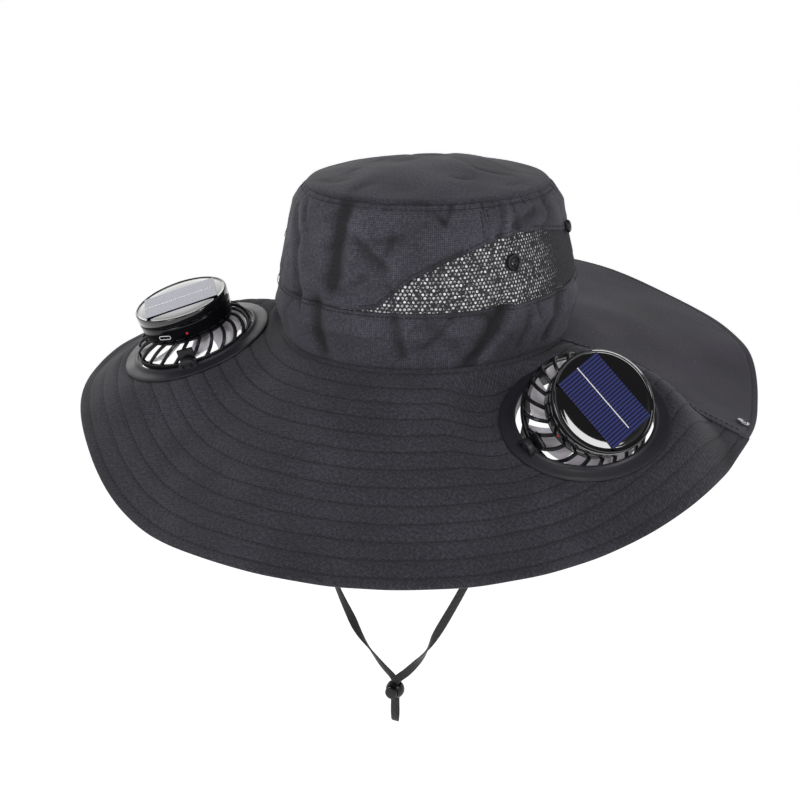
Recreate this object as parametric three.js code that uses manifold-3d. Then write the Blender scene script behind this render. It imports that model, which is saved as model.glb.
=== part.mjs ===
// Wide sun hat with two tilting solar fan units set in its brim.
// Millimetres, +Z up. The wearer faces -Y. The origin is the centre of the
// head opening, in the plane where the crown is sewn to the brim.
// Left and right in the names are as seen from in front: right is +X.
// Angles round the hat are degrees from the front, growing towards +X.

import * as THREE from 'three';
import { mergeVertices } from 'three/addons/utils/BufferGeometryUtils.js';
import Module from 'manifold-3d';

const wasm = await Module();
wasm.setup();

// Gaps between separate pieces.
const SEAM_GAP = 0.3;

// Head opening: half width and half depth of its oval.
const OPENING_HALF_WIDTH = 86;
const OPENING_HALF_DEPTH = 97;

// Crown.
const BAND_HEIGHT = 34;
const CROWN_HEIGHT = 92.5;
const TIP_RISE = 10.5;
const CROWN_BACK_DROP = 5;
const CROWN_WALL = 1.4;
const BAND_WALL = 1.6;
const TIP_INSET = 11.5;
const PANEL_SEAM_ANGLE = 49;

// Mesh windows in the crown, one on each side, the second the first turned half way round.
const WINDOW_START = 2.5;
const WINDOW_SPAN = 124;
const WINDOW_HEIGHT = 43;
const WINDOW_WALL = 1.0;
const WINDOW_BAR = 3.2;
const WINDOW_COLUMNS = 13;
const WINDOW_ROWS = 2;
const BETWEEN_COLUMNS = 6;

// Brim.
const BRIM_WIDTH = 145;
const BRIM_WALL = 1.8;
const BRIM_SEAM_ANGLE = 95.5;
const BRIM_SWELL = 0.1;
const FRONT_COLUMNS = 30;
const BACK_COLUMNS = 16;

// Snaps on crown and brim, and the vent button on each mesh window.
const SNAP_RADIUS = 4;
const SNAP_HEIGHT = 2.4;
const BRIM_SNAP_HEIGHT = 1.5;
const SNAP_HOLE = 1.3;
const CROWN_SNAP_ANGLE = 106;
const CROWN_SNAP_ABOVE_WINDOW = 2.5;
const BRIM_SNAP_ANGLE = 100.5;
const BRIM_SNAP_PLACE = 0.94;
const EYELET_RADIUS = 5.2;
const EYELET_HOLE = 1.9;
const EYELET_THICKNESS = 1.6;
const EYELET_ANGLE = 60;
const EYELET_Z = 58;

// Fan unit: flange on the brim, cage that tilts in it, solar puck on top.
const FLANGE_RADIUS = 48;
const FLANGE_THICKNESS = 2.2;
const COLLAR_BORE = 38.6;
const COLLAR_WALL = 2.2;
const COLLAR_RISE = 3.4;
const COLLAR_DEPTH = 4;
const PIVOT_HEIGHT = 2.5;
const EAR_RADIUS = 6;
const EAR_PROUD = 1.6;
const EAR_INSET = 0.5;
const PIN_RADIUS = 1.5;
const PIN_GAP = 0.35;
const RING_OUTER = 37.4;
const RING_WALL = 2.2;
const RING_HEIGHT = 4;
const RIB_COUNT = 22;
const RIB_WIDTH = 2;
const RIB_DEPTH = 1.8;
const RIB_SWIRL = 16;
const CAGE_TOP_RADIUS = 28;
const CAGE_TOP_Z = 10.4;
const CAGE_TOP_THICKNESS = 1.6;
const PUCK_RADIUS = 29.8;
const PUCK_HEIGHT = 16.5;
const PUCK_TAPER = 1.2;
const GROOVE_BELOW_TOP = 6;
const GROOVE_DEPTH = 0.7;
const CELL_WIDTH = 31;
const CELL_LENGTH = 46;
const CELL_THICKNESS = 0.5;
const CELL_TURN = 10;
const PORT_WIDTH = 9;
const PORT_HEIGHT = 3.2;
const PORT_DEPTH = 3;
const PORT_RIM = 0.5;
const PORT_ANGLE = 68;
const PORT_ABOVE_BASE = 4.6;
const LIGHT_ANGLE = 97;
const LIGHT_RADIUS = 0.9;
const LIGHT_DEPTH = 1.6;
const ROTOR_HUB_RADIUS = 11;
const ROTOR_HUB_HEIGHT = 7;
const ROTOR_BLADES = 7;
const ROTOR_RADIUS = 31;
const BLADE_WALL = 1.2;
const BLADE_SWEEP = 22;
const SHAFT_RADIUS = 1.5;
const SHAFT_GAP = 0.35;

// Where each fan unit sits: angle round the hat, how far past the head opening and how high
// as shares of the brim's width, lean outwards and to the front, the head's own tilt outwards,
// and how far the head is turned round in its seat.
const FAN_UNITS = [
  { side: 'left', angle: -63.5, past: 0.407640, height: -0.1, leanOut: 17.5, leanFront: 9, tilt: -2, turn: 0 },
  { side: 'right', angle: 64.3, past: 0.384937, height: -0.153793, leanOut: 17.5, leanFront: 17.5, tilt: 33, turn: 180 },
];
const FLAT_MARGIN = 10;
const BLEND_MARGIN = 24;

// Chin strap, flat ribbon, and its sliding lock.
const STRAP_WIDTH = 5.5;
const STRAP_THICKNESS = 1.1;
const STRAP_STEPS = 46;
const LOCK_RADIUS = 6.25;
const LOCK_BORE = 4.5;
const LOCK_BUTTON_RADIUS = 4.1;
const LOCK_BUTTON_LENGTH = 3.4;
const LOCK_BUTTON_TRAVEL = 1.5;
const LOCK_SLOT_WIDTH = 8.4;
const LOCK_SLOT_DEPTH = 4.2;

// Brim edge, a row for each direction: how far out it lies past the head
// opening and how far down, both as shares of the brim's width.
const BRIM_EDGE = [
  { angle: -180, out: 1.0, drop: 0.1 },
  { angle: -157.5, out: 0.986, drop: 0.145 },
  { angle: -135, out: 0.952, drop: 0.262 },
  { angle: -112.5, out: 0.949, drop: 0.303 },
  { angle: -90, out: 0.972, drop: 0.283 },
  { angle: -67.5, out: 0.942, drop: 0.317 },
  { angle: -45, out: 0.865, drop: 0.392 },
  { angle: -22.5, out: 0.845, drop: 0.506 },
  { angle: 0, out: 0.862, drop: 0.503 },
  { angle: 22.5, out: 0.889, drop: 0.496 },
  { angle: 45, out: 0.883, drop: 0.468 },
  { angle: 67.5, out: 0.873, drop: 0.379 },
  { angle: 90, out: 0.821, drop: 0.331 },
  { angle: 112.5, out: 0.839, drop: 0.352 },
  { angle: 135, out: 0.945, drop: 0.255 },
  { angle: 157.5, out: 0.986, drop: 0.186 },
];

// Rows of points between the head opening and the brim's edge, as shares of the width.
const BRIM_ROWS = [0, 0.014, 0.05, 0.16, 0.3, 0.44, 0.58, 0.72, 0.86, 1];

// Rotor blade, from root to tip: place between hub and tip, chord as a share of the rotor's
// radius, pitch in degrees, and how far its middle lies below the hub's as a share of the hub's height.
const BLADE_STATIONS = [
  { share: 0, chord: 0.29, pitch: 40, drop: 0.05 },
  { share: 0.5, chord: 0.58, pitch: 26, drop: 0.25 },
  { share: 1, chord: 0.8, pitch: 20, drop: 0.58 },
];
const BLADE_IN_HUB = 1.5;

// Side view of the crown: how far it stands out past the head opening's oval
// as shares of the tip's inset, with the height as a share of the band's or the wall's own.
const BAND_PROFILE = [
  { height: 0, out: 0.09 },
  { height: 0.2, out: 0.22 },
  { height: 0.6, out: 0.56 },
  { height: 1, out: 0.3 },
];
const WALL_PROFILE = [
  { height: 0, out: 0.3 },
  { height: 0.12, out: 0.25 },
  { height: 0.28, out: 0.06 },
  { height: 0.45, out: -0.12 },
  { height: 0.62, out: -0.28 },
  { height: 0.8, out: -0.5 },
  { height: 0.92, out: -0.84 },
  { height: 1, out: -1.22 },
];
const WALL_ROWS = [0, 0.25, 0.5, 0.8, 0.92, 1];
const TIP_ROWS = [1, 0.8, 0.45];

// Upper edge of a mesh window: place along it and height, shares of its span and height.
const WINDOW_EDGE = [
  { along: 0, height: 0.06 },
  { along: 0.04, height: 0.1 },
  { along: 0.145, height: 0.43 },
  { along: 0.242, height: 0.63 },
  { along: 0.367, height: 0.84 },
  { along: 0.504, height: 0.935 },
  { along: 0.637, height: 0.875 },
  { along: 0.82, height: 0.72 },
  { along: 0.927, height: 0.58 },
  { along: 1, height: 0.5 },
];

// Creases pressed into the crown: each runs between two places, given by angle
// and by height as a share of the crown's, with its width and depth as shares of the tip's inset.
const CREASES = [
  { fromAngle: -6, fromHeight: 0.97, toAngle: -7.5, toHeight: 0.51, width: 0.57, depth: 0.36 },
  { fromAngle: -13, fromHeight: 0.36, toAngle: -11, toHeight: 0.065, width: 0.45, depth: 0.26 },
  { fromAngle: 54.5, fromHeight: 0.36, toAngle: 42, toHeight: 0.03, width: 0.45, depth: 0.4 },
  { fromAngle: 16, fromHeight: 0.32, toAngle: 18.5, toHeight: 0.09, width: 0.45, depth: 0.17 },
  { fromAngle: 0.5, fromHeight: 0.785, toAngle: 11, toHeight: 0.64, width: 0.4, depth: 0.17 },
  { fromAngle: 62, fromHeight: 0.85, toAngle: 78, toHeight: 0.91, width: 0.4, depth: 0.16 },
  { fromAngle: 150, fromHeight: 0.845, toAngle: 156, toHeight: 0.4, width: 0.7, depth: 0.31 },
  { fromAngle: 196, fromHeight: 0.3, toAngle: 208, toHeight: 0.055, width: 0.49, depth: 0.28 },
  { fromAngle: 250, fromHeight: 0.04, toAngle: 262, toHeight: 0.32, width: 0.49, depth: 0.33 },
];

// Route of one leg of the strap, from inside the crown down to the lock and
// its folded tail. turn is the way the ribbon's width points, from +Y towards +X.
const STRAP_LEG = [
  { x: 81.2, y: -23.3, z: 6, turn: 16 },
  { x: 81.3, y: -23.3, z: -5, turn: 16 },
  { x: 81.6, y: -26.5, z: -30, turn: 18 },
  { x: 78, y: -33, z: -65, turn: 22 },
  { x: 70.5, y: -40.5, z: -100, turn: 30 },
  { x: 60, y: -46.8, z: -132, turn: 42 },
  { x: 48.6, y: -49, z: -158, turn: 57 },
  { x: 39, y: -49.6, z: -178, turn: 75 },
  { x: 31.3, y: -49.4, z: -193, turn: 110 },
  { x: 25, y: -48.9, z: -205, turn: 170 },
  { x: 17.2, y: -47, z: -217, turn: 232 },
  { x: 9, y: -45.3, z: -227.5, turn: 262 },
  { x: 1.2, y: -44.1, z: -235.8, turn: 270 },
  { x: 0, y: -44.1, z: -243, turn: 270 },
  { x: 0, y: -44.1, z: -252, turn: 270 },
  { x: 0, y: -43.9, z: -261, turn: 270 },
];
const STRAP_TIP = { x: 0, y: -45, z: -267, turn: 270 };
const LOCK_CENTRE = { x: 0, y: -45, z: -243 };

const FULL_TURN = 2 * Math.PI;

function radians(degrees) {
  return degrees * Math.PI / 180;
}

function smoothStep(value, low, high) {
  const t = THREE.MathUtils.clamp((value - low) / (high - low), 0, 1);
  return t * t * (3 - 2 * t);
}

// Value of one column of a table at a place between its rows, straight between rows.
function readTable(table, keyName, valueName, key) {
  for (let i = 1; i < table.length; i += 1) {
    if (key <= table[i][keyName]) {
      const before = table[i - 1];
      const after = table[i];
      const share = (key - before[keyName]) / (after[keyName] - before[keyName]);
      return before[valueName] + share * (after[valueName] - before[valueName]);
    }
  }
  return table[table.length - 1][valueName];
}

// Smooth value of one column of the brim table, read all the way round.
function readBrimEdge(valueName, degrees) {
  const step = 360 / BRIM_EDGE.length;
  const place = ((degrees - BRIM_EDGE[0].angle) % 360 + 360) % 360 / step;
  const row = Math.floor(place);
  const t = place - row;
  const at = (offset) => BRIM_EDGE[(row + offset + BRIM_EDGE.length) % BRIM_EDGE.length][valueName];
  const p0 = at(-1);
  const p1 = at(0);
  const p2 = at(1);
  const p3 = at(2);
  const curve = p3 - 3 * p2 + 3 * p1 - p0;
  const bend = 2 * p0 - 5 * p1 + 4 * p2 - p3;
  return p1 + 0.5 * t * (p2 - p0 + t * (bend + t * curve));
}

function openingRadius(degrees) {
  const across = Math.sin(radians(degrees)) / OPENING_HALF_WIDTH;
  const along = Math.cos(radians(degrees)) / OPENING_HALF_DEPTH;
  return 1 / Math.hypot(across, along);
}

function outward(degrees) {
  return new THREE.Vector3(Math.sin(radians(degrees)), -Math.cos(radians(degrees)), 0);
}

function around(degrees) {
  return new THREE.Vector3(Math.cos(radians(degrees)), Math.sin(radians(degrees)), 0);
}

function ringPoint(degrees, radius, z) {
  return outward(degrees).multiplyScalar(radius).setZ(z);
}

// Frame of a fan unit's seat: x outwards, y round the hat, z away from the brim.
function seatMatrix(unit) {
  const out = outward(unit.angle);
  const round = around(unit.angle);
  const frontSign = unit.angle > 0 ? -1 : 1;
  const normal = new THREE.Vector3(0, 0, 1)
    .addScaledVector(out, Math.tan(radians(unit.leanOut)))
    .addScaledVector(round, frontSign * Math.tan(radians(unit.leanFront)))
    .normalize();
  const yAxis = round.clone().addScaledVector(normal, -round.dot(normal)).normalize();
  const xAxis = yAxis.clone().cross(normal);
  const reach = openingRadius(unit.angle) + BRIM_WIDTH * unit.past;
  const centre = ringPoint(unit.angle, reach, BRIM_WIDTH * unit.height);
  return new THREE.Matrix4().makeBasis(xAxis, yAxis, normal).setPosition(centre);
}

const SEATS = FAN_UNITS.map(seatMatrix);

// Closed mesh from a list of points and a list of triangles.
function meshGeometry(points, triangles) {
  const geometry = new THREE.BufferGeometry();
  geometry.setFromPoints(points);
  geometry.setIndex(triangles.flat());
  return geometry;
}

function addQuad(triangles, a, b, c, d) {
  triangles.push([a, b, c], [a, c, d]);
}

// Shell of cloth: a grid of outer points and the same grid moved inwards,
// closed at its free edges. With pierced, each cell it names gets a hole.
function clothShell({ columns, rows, closed, outer, inner, pierced, bar }) {
  const lines = closed ? columns : columns + 1;
  const points = [];
  const triangles = [];
  const outerAt = [];
  const innerAt = [];
  for (let i = 0; i < lines; i += 1) {
    outerAt.push([]);
    innerAt.push([]);
    for (let j = 0; j <= rows; j += 1) {
      outerAt[i].push(points.push(outer(i, j)) - 1);
      innerAt[i].push(points.push(inner(i, j)) - 1);
    }
  }
  const holeCorners = (grid, i, next, j) => {
    const corners = [grid[i][j], grid[next][j], grid[next][j + 1], grid[i][j + 1]];
    const middle = new THREE.Vector3();
    corners.forEach((index) => middle.addScaledVector(points[index], 1 / corners.length));
    const width = points[corners[0]].distanceTo(points[corners[1]]);
    const height = points[corners[1]].distanceTo(points[corners[2]]);
    const shrink = 1 - bar / Math.min(width, height, 2 * (width + height) / 4 + bar);
    const hole = corners.map((index) => points.push(points[index].clone().lerp(middle, 1 - shrink)) - 1);
    return { corners, hole };
  };
  for (let i = 0; i < columns; i += 1) {
    const next = (i + 1) % lines;
    for (let j = 0; j < rows; j += 1) {
      if (pierced && pierced(i, j)) {
        const front = holeCorners(outerAt, i, next, j);
        const back = holeCorners(innerAt, i, next, j);
        for (let k = 0; k < 4; k += 1) {
          const m = (k + 1) % 4;
          addQuad(triangles, front.corners[k], front.corners[m], front.hole[m], front.hole[k]);
          addQuad(triangles, back.corners[m], back.corners[k], back.hole[k], back.hole[m]);
          addQuad(triangles, front.hole[k], front.hole[m], back.hole[m], back.hole[k]);
        }
      } else {
        addQuad(triangles, outerAt[i][j], outerAt[next][j], outerAt[next][j + 1], outerAt[i][j + 1]);
        addQuad(triangles, innerAt[next][j], innerAt[i][j], innerAt[i][j + 1], innerAt[next][j + 1]);
      }
    }
    addQuad(triangles, innerAt[i][0], innerAt[next][0], outerAt[next][0], outerAt[i][0]);
    addQuad(triangles, outerAt[i][rows], outerAt[next][rows], innerAt[next][rows], innerAt[i][rows]);
  }
  if (!closed) {
    const last = lines - 1;
    for (let j = 0; j < rows; j += 1) {
      addQuad(triangles, outerAt[0][j], outerAt[0][j + 1], innerAt[0][j + 1], innerAt[0][j]);
      addQuad(triangles, innerAt[last][j], innerAt[last][j + 1], outerAt[last][j + 1], outerAt[last][j]);
    }
  }
  return meshGeometry(points, triangles);
}

// Bar through a row of sections with equally many corners each. Seen from the
// far end, the corners of a section run anticlockwise.
function throughSections(sections) {
  const sides = sections[0].length;
  const last = sides * (sections.length - 1);
  const triangles = [];
  for (let k = 0; k + 1 < sections.length; k += 1) {
    for (let m = 0; m < sides; m += 1) {
      const n = (m + 1) % sides;
      addQuad(triangles, sides * k + m, sides * k + n, sides * (k + 1) + n, sides * (k + 1) + m);
    }
  }
  for (let m = 1; m + 1 < sides; m += 1) {
    triangles.push([0, m + 1, m], [last, last + m, last + m + 1]);
  }
  return meshGeometry(sections.flat(), triangles);
}

function toSolid(geometry) {
  const bare = geometry.clone();
  bare.deleteAttribute('normal');
  bare.deleteAttribute('uv');
  const merged = mergeVertices(bare, 1e-4);
  return new wasm.Manifold(new wasm.Mesh({
    numProp: 3,
    vertProperties: new Float32Array(merged.attributes.position.array),
    triVerts: new Uint32Array(merged.index.array),
  }));
}

function toGeometry(solid) {
  const mesh = solid.getMesh();
  const geometry = new THREE.BufferGeometry();
  geometry.setAttribute('position', new THREE.BufferAttribute(mesh.vertProperties, 3));
  geometry.setIndex(new THREE.BufferAttribute(mesh.triVerts, 1));
  return geometry;
}

// Join the added shapes into one body, then cut the removed ones out of it.
function carve(added, removed = []) {
  let solid = toSolid(added[0]);
  added.slice(1).forEach((shape) => { solid = solid.add(toSolid(shape)); });
  removed.forEach((shape) => { solid = solid.subtract(toSolid(shape)); });
  return toGeometry(solid);
}

// Sides of round faces, by how large they are.
const COLLAR_SIDES = 24;
const PUCK_SIDES = 22;
const SNAP_SIDES = 12;
const PIN_SIDES = 10;
const BALL_SIDES = 14;
const HOLE_CUT_LENGTH = 60;

// Turned body about +Z. Its profile is [radius, z] pairs, up the outside and down the inside.
function turned(profile, segments) {
  const outline = profile.map(([radius, z]) => new THREE.Vector2(radius, z));
  const onAxis = profile[0][0] === 0;
  if (!onAxis) {
    outline.push(outline[0].clone());
  }
  return new THREE.LatheGeometry(outline, segments).rotateX(Math.PI / 2);
}

// Round pin of a given radius between two points.
function pin(from, to, radius, segments = PIN_SIDES) {
  const span = to.clone().sub(from);
  const geometry = new THREE.CylinderGeometry(radius, radius, span.length(), segments);
  const up = new THREE.Vector3(0, 1, 0);
  geometry.applyQuaternion(new THREE.Quaternion().setFromUnitVectors(up, span.clone().normalize()));
  const middle = from.clone().add(to).multiplyScalar(0.5);
  return geometry.translate(middle.x, middle.y, middle.z);
}

const COLOURS = {
  crownCloth: 0x44434a,
  brimCloth: 0x36363b,
  backCloth: 0x3c3a3f,
  net: 0x4a4a50,
  strap: 0x151515,
  satinPlastic: 0x2c2c30,
  glossPlastic: 0x141418,
  fanGrey: 0xaaa4aa,
  cell: 0x30356e,
  steel: 0xb8b8bc,
  led: 0xc03030,
};

function finish(colour, roughness, metalness = 0) {
  return new THREE.MeshStandardMaterial({ color: colour, roughness, metalness });
}

function part(name, geometry, material) {
  const mesh = new THREE.Mesh(geometry, material);
  mesh.name = name;
  return mesh;
}

// Depth of the creases at a place on the crown.
function creaseDepth(degrees, z) {
  const mmPerDegree = radians(OPENING_HALF_DEPTH);
  let depth = 0;
  CREASES.forEach((crease) => {
    const fromTurn = ((crease.fromAngle - degrees + 540) % 360) - 180;
    const toTurn = fromTurn + crease.toAngle - crease.fromAngle;
    const from = new THREE.Vector2(fromTurn * mmPerDegree, crease.fromHeight * CROWN_HEIGHT - z);
    const to = new THREE.Vector2(toTurn * mmPerDegree, crease.toHeight * CROWN_HEIGHT - z);
    const span = to.clone().sub(from);
    const share = THREE.MathUtils.clamp(-from.dot(span) / span.lengthSq(), 0, 1);
    const reach = from.addScaledVector(span, share).length();
    const width = crease.width * TIP_INSET;
    depth += crease.depth * TIP_INSET * Math.exp(-((reach / width) ** 2));
  });
  return depth;
}

// Outer face of the crown at an angle and a height.
function crownRadius(degrees, z) {
  const inBand = z <= BAND_HEIGHT;
  const share = inBand ? z / BAND_HEIGHT : (z - BAND_HEIGHT) / (CROWN_HEIGHT - BAND_HEIGHT);
  const out = readTable(inBand ? BAND_PROFILE : WALL_PROFILE, 'height', 'out', share);
  const fade = smoothStep(z, 0, BAND_HEIGHT / 4) * (1 - smoothStep(z, 0.9 * CROWN_HEIGHT, CROWN_HEIGHT));
  return openingRadius(degrees) + out * TIP_INSET - fade * creaseDepth(degrees, z);
}

// The crown is lower at the back: a point above the band sinks by how far back it is.
function sunk(point) {
  const above = Math.max(0, point.z - BAND_HEIGHT) / (CROWN_HEIGHT - BAND_HEIGHT);
  const back = (1 + point.y / OPENING_HALF_DEPTH) / 2;
  return point.setZ(point.z - CROWN_BACK_DROP * Math.min(above, 1) * back);
}

function crownPoint(degrees, z, inset = 0) {
  return sunk(ringPoint(degrees, crownRadius(degrees, z) - inset, z));
}

// Columns of the crown, in degrees: one window, the cloth after it, then the same again.
function crownColumns() {
  const angles = [];
  [0, 180].forEach((half) => {
    for (let i = 0; i < WINDOW_COLUMNS; i += 1) {
      angles.push(half + WINDOW_START + WINDOW_SPAN * i / WINDOW_COLUMNS);
    }
    for (let i = 0; i < BETWEEN_COLUMNS; i += 1) {
      angles.push(half + WINDOW_START + WINDOW_SPAN + (180 - WINDOW_SPAN) * i / BETWEEN_COLUMNS);
    }
  });
  return angles;
}

function windowHeight(degrees) {
  const along = ((degrees - WINDOW_START) % 180 + 180) % 180 / WINDOW_SPAN;
  const inside = along < 1 + 1e-9;
  return inside ? WINDOW_HEIGHT * readTable(WINDOW_EDGE, 'along', 'height', along) : 0;
}

function crownBand() {
  const angles = crownColumns();
  const low = SEAM_GAP;
  const heightAt = (j) => low + (BAND_HEIGHT - low) * BAND_PROFILE[j].height;
  return clothShell({
    columns: angles.length,
    rows: BAND_PROFILE.length - 1,
    closed: true,
    outer: (i, j) => crownPoint(angles[i], heightAt(j)),
    inner: (i, j) => crownPoint(angles[i], heightAt(j), BAND_WALL),
  });
}

// One half of the crown's wall, between the two seams that run up to the tip.
function crownWall(half) {
  const gapAngle = THREE.MathUtils.radToDeg(SEAM_GAP / OPENING_HALF_WIDTH);
  const start = half + PANEL_SEAM_ANGLE;
  const inner = crownColumns().concat(crownColumns().map((angle) => angle + 360))
    .filter((angle) => angle > start + 1 && angle < start + 179);
  const angles = [start + gapAngle / 2, ...inner, start + 180 - gapAngle / 2];
  const lowAt = (angle) => {
    const overWindow = windowHeight(angle) ? SEAM_GAP : 0;
    return BAND_HEIGHT + SEAM_GAP + windowHeight(angle) + overWindow;
  };
  const heightAt = (i, j) => THREE.MathUtils.lerp(lowAt(angles[i]), CROWN_HEIGHT, WALL_ROWS[j]);
  return clothShell({
    columns: angles.length - 1,
    rows: WALL_ROWS.length - 1,
    closed: false,
    outer: (i, j) => crownPoint(angles[i], heightAt(i, j)),
    inner: (i, j) => crownPoint(angles[i], heightAt(i, j), CROWN_WALL),
  });
}

// Mesh window: coarse net from the band's top edge to the wall's lower edge.
function meshWindow(half) {
  const gapAngle = THREE.MathUtils.radToDeg(SEAM_GAP / OPENING_HALF_WIDTH);
  const last = WINDOW_COLUMNS;
  const angleAt = (i) => {
    const ends = (i === 0 ? gapAngle : 0) - (i === last ? gapAngle : 0);
    return half + WINDOW_START + WINDOW_SPAN * i / WINDOW_COLUMNS + ends;
  };
  const low = BAND_HEIGHT + SEAM_GAP;
  const heightAt = (i, j) => {
    const top = low + windowHeight(half + WINDOW_START + WINDOW_SPAN * i / WINDOW_COLUMNS);
    return THREE.MathUtils.lerp(low, top, j / WINDOW_ROWS);
  };
  return clothShell({
    columns: WINDOW_COLUMNS,
    rows: WINDOW_ROWS,
    closed: false,
    bar: WINDOW_BAR,
    pierced: (i) => i > 0,
    outer: (i, j) => crownPoint(angleAt(i), heightAt(i, j), (CROWN_WALL - WINDOW_WALL) / 2),
    inner: (i, j) => crownPoint(angleAt(i), heightAt(i, j), (CROWN_WALL + WINDOW_WALL) / 2),
  });
}

// Domed tip, closed in the middle by one point above and one below.
function crownTip() {
  const angles = crownColumns();
  const points = [];
  const triangles = [];
  const low = CROWN_HEIGHT + SEAM_GAP;
  const rim = angles.map((angle) => crownRadius(angle, CROWN_HEIGHT));
  const rows = TIP_ROWS.length;
  const at = (i, j, under) => ((i % angles.length) * rows + j) * 2 + (under ? 1 : 0);
  angles.forEach((angle, i) => {
    TIP_ROWS.forEach((share) => {
      const rise = TIP_RISE * (1 - share ** 2);
      points.push(sunk(ringPoint(angle, rim[i] * share, low + CROWN_WALL + rise)));
      points.push(sunk(ringPoint(angle, rim[i] * share, low + rise)));
    });
  });
  const top = points.push(sunk(new THREE.Vector3(0, 0, low + CROWN_WALL + TIP_RISE))) - 1;
  const bottom = points.push(sunk(new THREE.Vector3(0, 0, low + TIP_RISE))) - 1;
  const last = rows - 1;
  for (let i = 0; i < angles.length; i += 1) {
    for (let j = 0; j < last; j += 1) {
      addQuad(triangles, at(i, j), at(i + 1, j), at(i + 1, j + 1), at(i, j + 1));
      addQuad(triangles, at(i + 1, j, true), at(i, j, true), at(i, j + 1, true), at(i + 1, j + 1, true));
    }
    triangles.push([at(i, last), at(i + 1, last), top]);
    triangles.push([at(i + 1, last, true), at(i, last, true), bottom]);
    addQuad(triangles, at(i, 0, true), at(i + 1, 0, true), at(i + 1, 0), at(i, 0));
  }
  return meshGeometry(points, triangles);
}

// Upper face of the brim at an angle and a share of its width, pulled flat under each flange.
function brimPoint(degrees, share) {
  const base = openingRadius(degrees);
  const reach = base + BRIM_WIDTH * readBrimEdge('out', degrees) * share;
  const fall = share - BRIM_SWELL * Math.sin(FULL_TURN * share) / FULL_TURN;
  const point = ringPoint(degrees, reach, -BRIM_WIDTH * readBrimEdge('drop', degrees) * fall);
  const hold = smoothStep(share, BRIM_ROWS[1], BRIM_ROWS[2]);
  SEATS.forEach((seat) => {
    const local = point.clone().applyMatrix4(seat.clone().invert());
    const away = Math.hypot(local.x, local.y);
    const flat = FLANGE_RADIUS + FLAT_MARGIN;
    const weight = hold * (1 - smoothStep(away, flat, flat + BLEND_MARGIN));
    local.z = THREE.MathUtils.lerp(local.z, -SEAM_GAP, weight);
    point.copy(local.applyMatrix4(seat));
  });
  return point;
}

// Brim panel between two angles, with a round hole under each fan that it carries.
function brimPanel(fromAngle, toAngle, columns, holes) {
  const drop = new THREE.Vector3(0, 0, -BRIM_WALL);
  const angleAt = (i) => THREE.MathUtils.lerp(fromAngle, toAngle, i / columns);
  const shell = clothShell({
    columns,
    rows: BRIM_ROWS.length - 1,
    closed: false,
    outer: (i, j) => brimPoint(angleAt(columns - i), BRIM_ROWS[j]),
    inner: (i, j) => brimPoint(angleAt(columns - i), BRIM_ROWS[j]).add(drop),
  });
  const bore = (COLLAR_BORE + COLLAR_WALL + SEAM_GAP) / Math.cos(Math.PI / COLLAR_SIDES);
  const cutters = holes.map((seat) => {
    const cutter = new THREE.CylinderGeometry(bore, bore, HOLE_CUT_LENGTH, COLLAR_SIDES).rotateX(Math.PI / 2);
    return cutter.applyMatrix4(seat);
  });
  return cutters.length ? carve([shell], cutters) : shell;
}

// Round snap or button with a dimple, standing on a surface along its own +Z.
function snapShape(height) {
  return turned([
    [0, 0],
    [SNAP_RADIUS, 0],
    [SNAP_RADIUS, height * 0.5],
    [SNAP_RADIUS * 0.82, height],
    [SNAP_HOLE, height],
    [SNAP_HOLE, height * 0.4],
    [0, height * 0.4],
  ], SNAP_SIDES);
}

function eyeletShape() {
  return turned([
    [EYELET_HOLE, 0],
    [EYELET_RADIUS, 0],
    [EYELET_RADIUS, EYELET_THICKNESS * 0.5],
    [EYELET_RADIUS * 0.8, EYELET_THICKNESS],
    [EYELET_HOLE, EYELET_THICKNESS],
  ], SNAP_SIDES);
}

// Stand a shape made along +Z on a surface, given a point and two ways along the surface.
function standOn(mesh, here, along, across, gap) {
  const normal = along.clone().cross(across).normalize();
  mesh.quaternion.setFromUnitVectors(new THREE.Vector3(0, 0, 1), normal);
  mesh.position.copy(here).addScaledVector(normal, gap);
  return mesh;
}

function placeOnCrown(mesh, degrees, z, radius) {
  const reach = THREE.MathUtils.radToDeg(radius / OPENING_HALF_WIDTH);
  const across = crownPoint(degrees + reach, z).sub(crownPoint(degrees - reach, z));
  const up = crownPoint(degrees, z + radius).sub(crownPoint(degrees, z - radius));
  const bulge = radius * radius / (2 * OPENING_HALF_WIDTH);
  return standOn(mesh, crownPoint(degrees, z), across, up, SEAM_GAP + bulge);
}

function placeOnBrim(mesh, degrees, share) {
  const here = brimPoint(degrees, share);
  const outwards = brimPoint(degrees, share + 0.03).sub(here);
  const round = brimPoint(degrees + 1, share).sub(here);
  return standOn(mesh, here, outwards, round, SEAM_GAP);
}

// Flange: thin disc on the brim, collar through its hole, an ear over each pivot pin.
function fanFlange() {
  const collarOuter = COLLAR_BORE + COLLAR_WALL;
  const body = turned([
    [COLLAR_BORE, -COLLAR_DEPTH],
    [collarOuter, -COLLAR_DEPTH],
    [collarOuter, 0],
    [FLANGE_RADIUS, 0],
    [FLANGE_RADIUS, FLANGE_THICKNESS * 0.4],
    [FLANGE_RADIUS - 3, FLANGE_THICKNESS * 0.8],
    [collarOuter + 0.4, FLANGE_THICKNESS],
    [COLLAR_BORE + 0.8, COLLAR_RISE],
    [COLLAR_BORE, COLLAR_RISE],
  ], COLLAR_SIDES);
  const bores = [-1, 1].map((side) => {
    const from = new THREE.Vector3(0, side * (COLLAR_BORE - 2), PIVOT_HEIGHT);
    const to = new THREE.Vector3(0, side * (collarOuter + EAR_RADIUS), PIVOT_HEIGHT);
    return pin(from, to, PIN_RADIUS + PIN_GAP);
  });
  return carve([body, pivotEar(-1), pivotEar(1)], bores);
}

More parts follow.
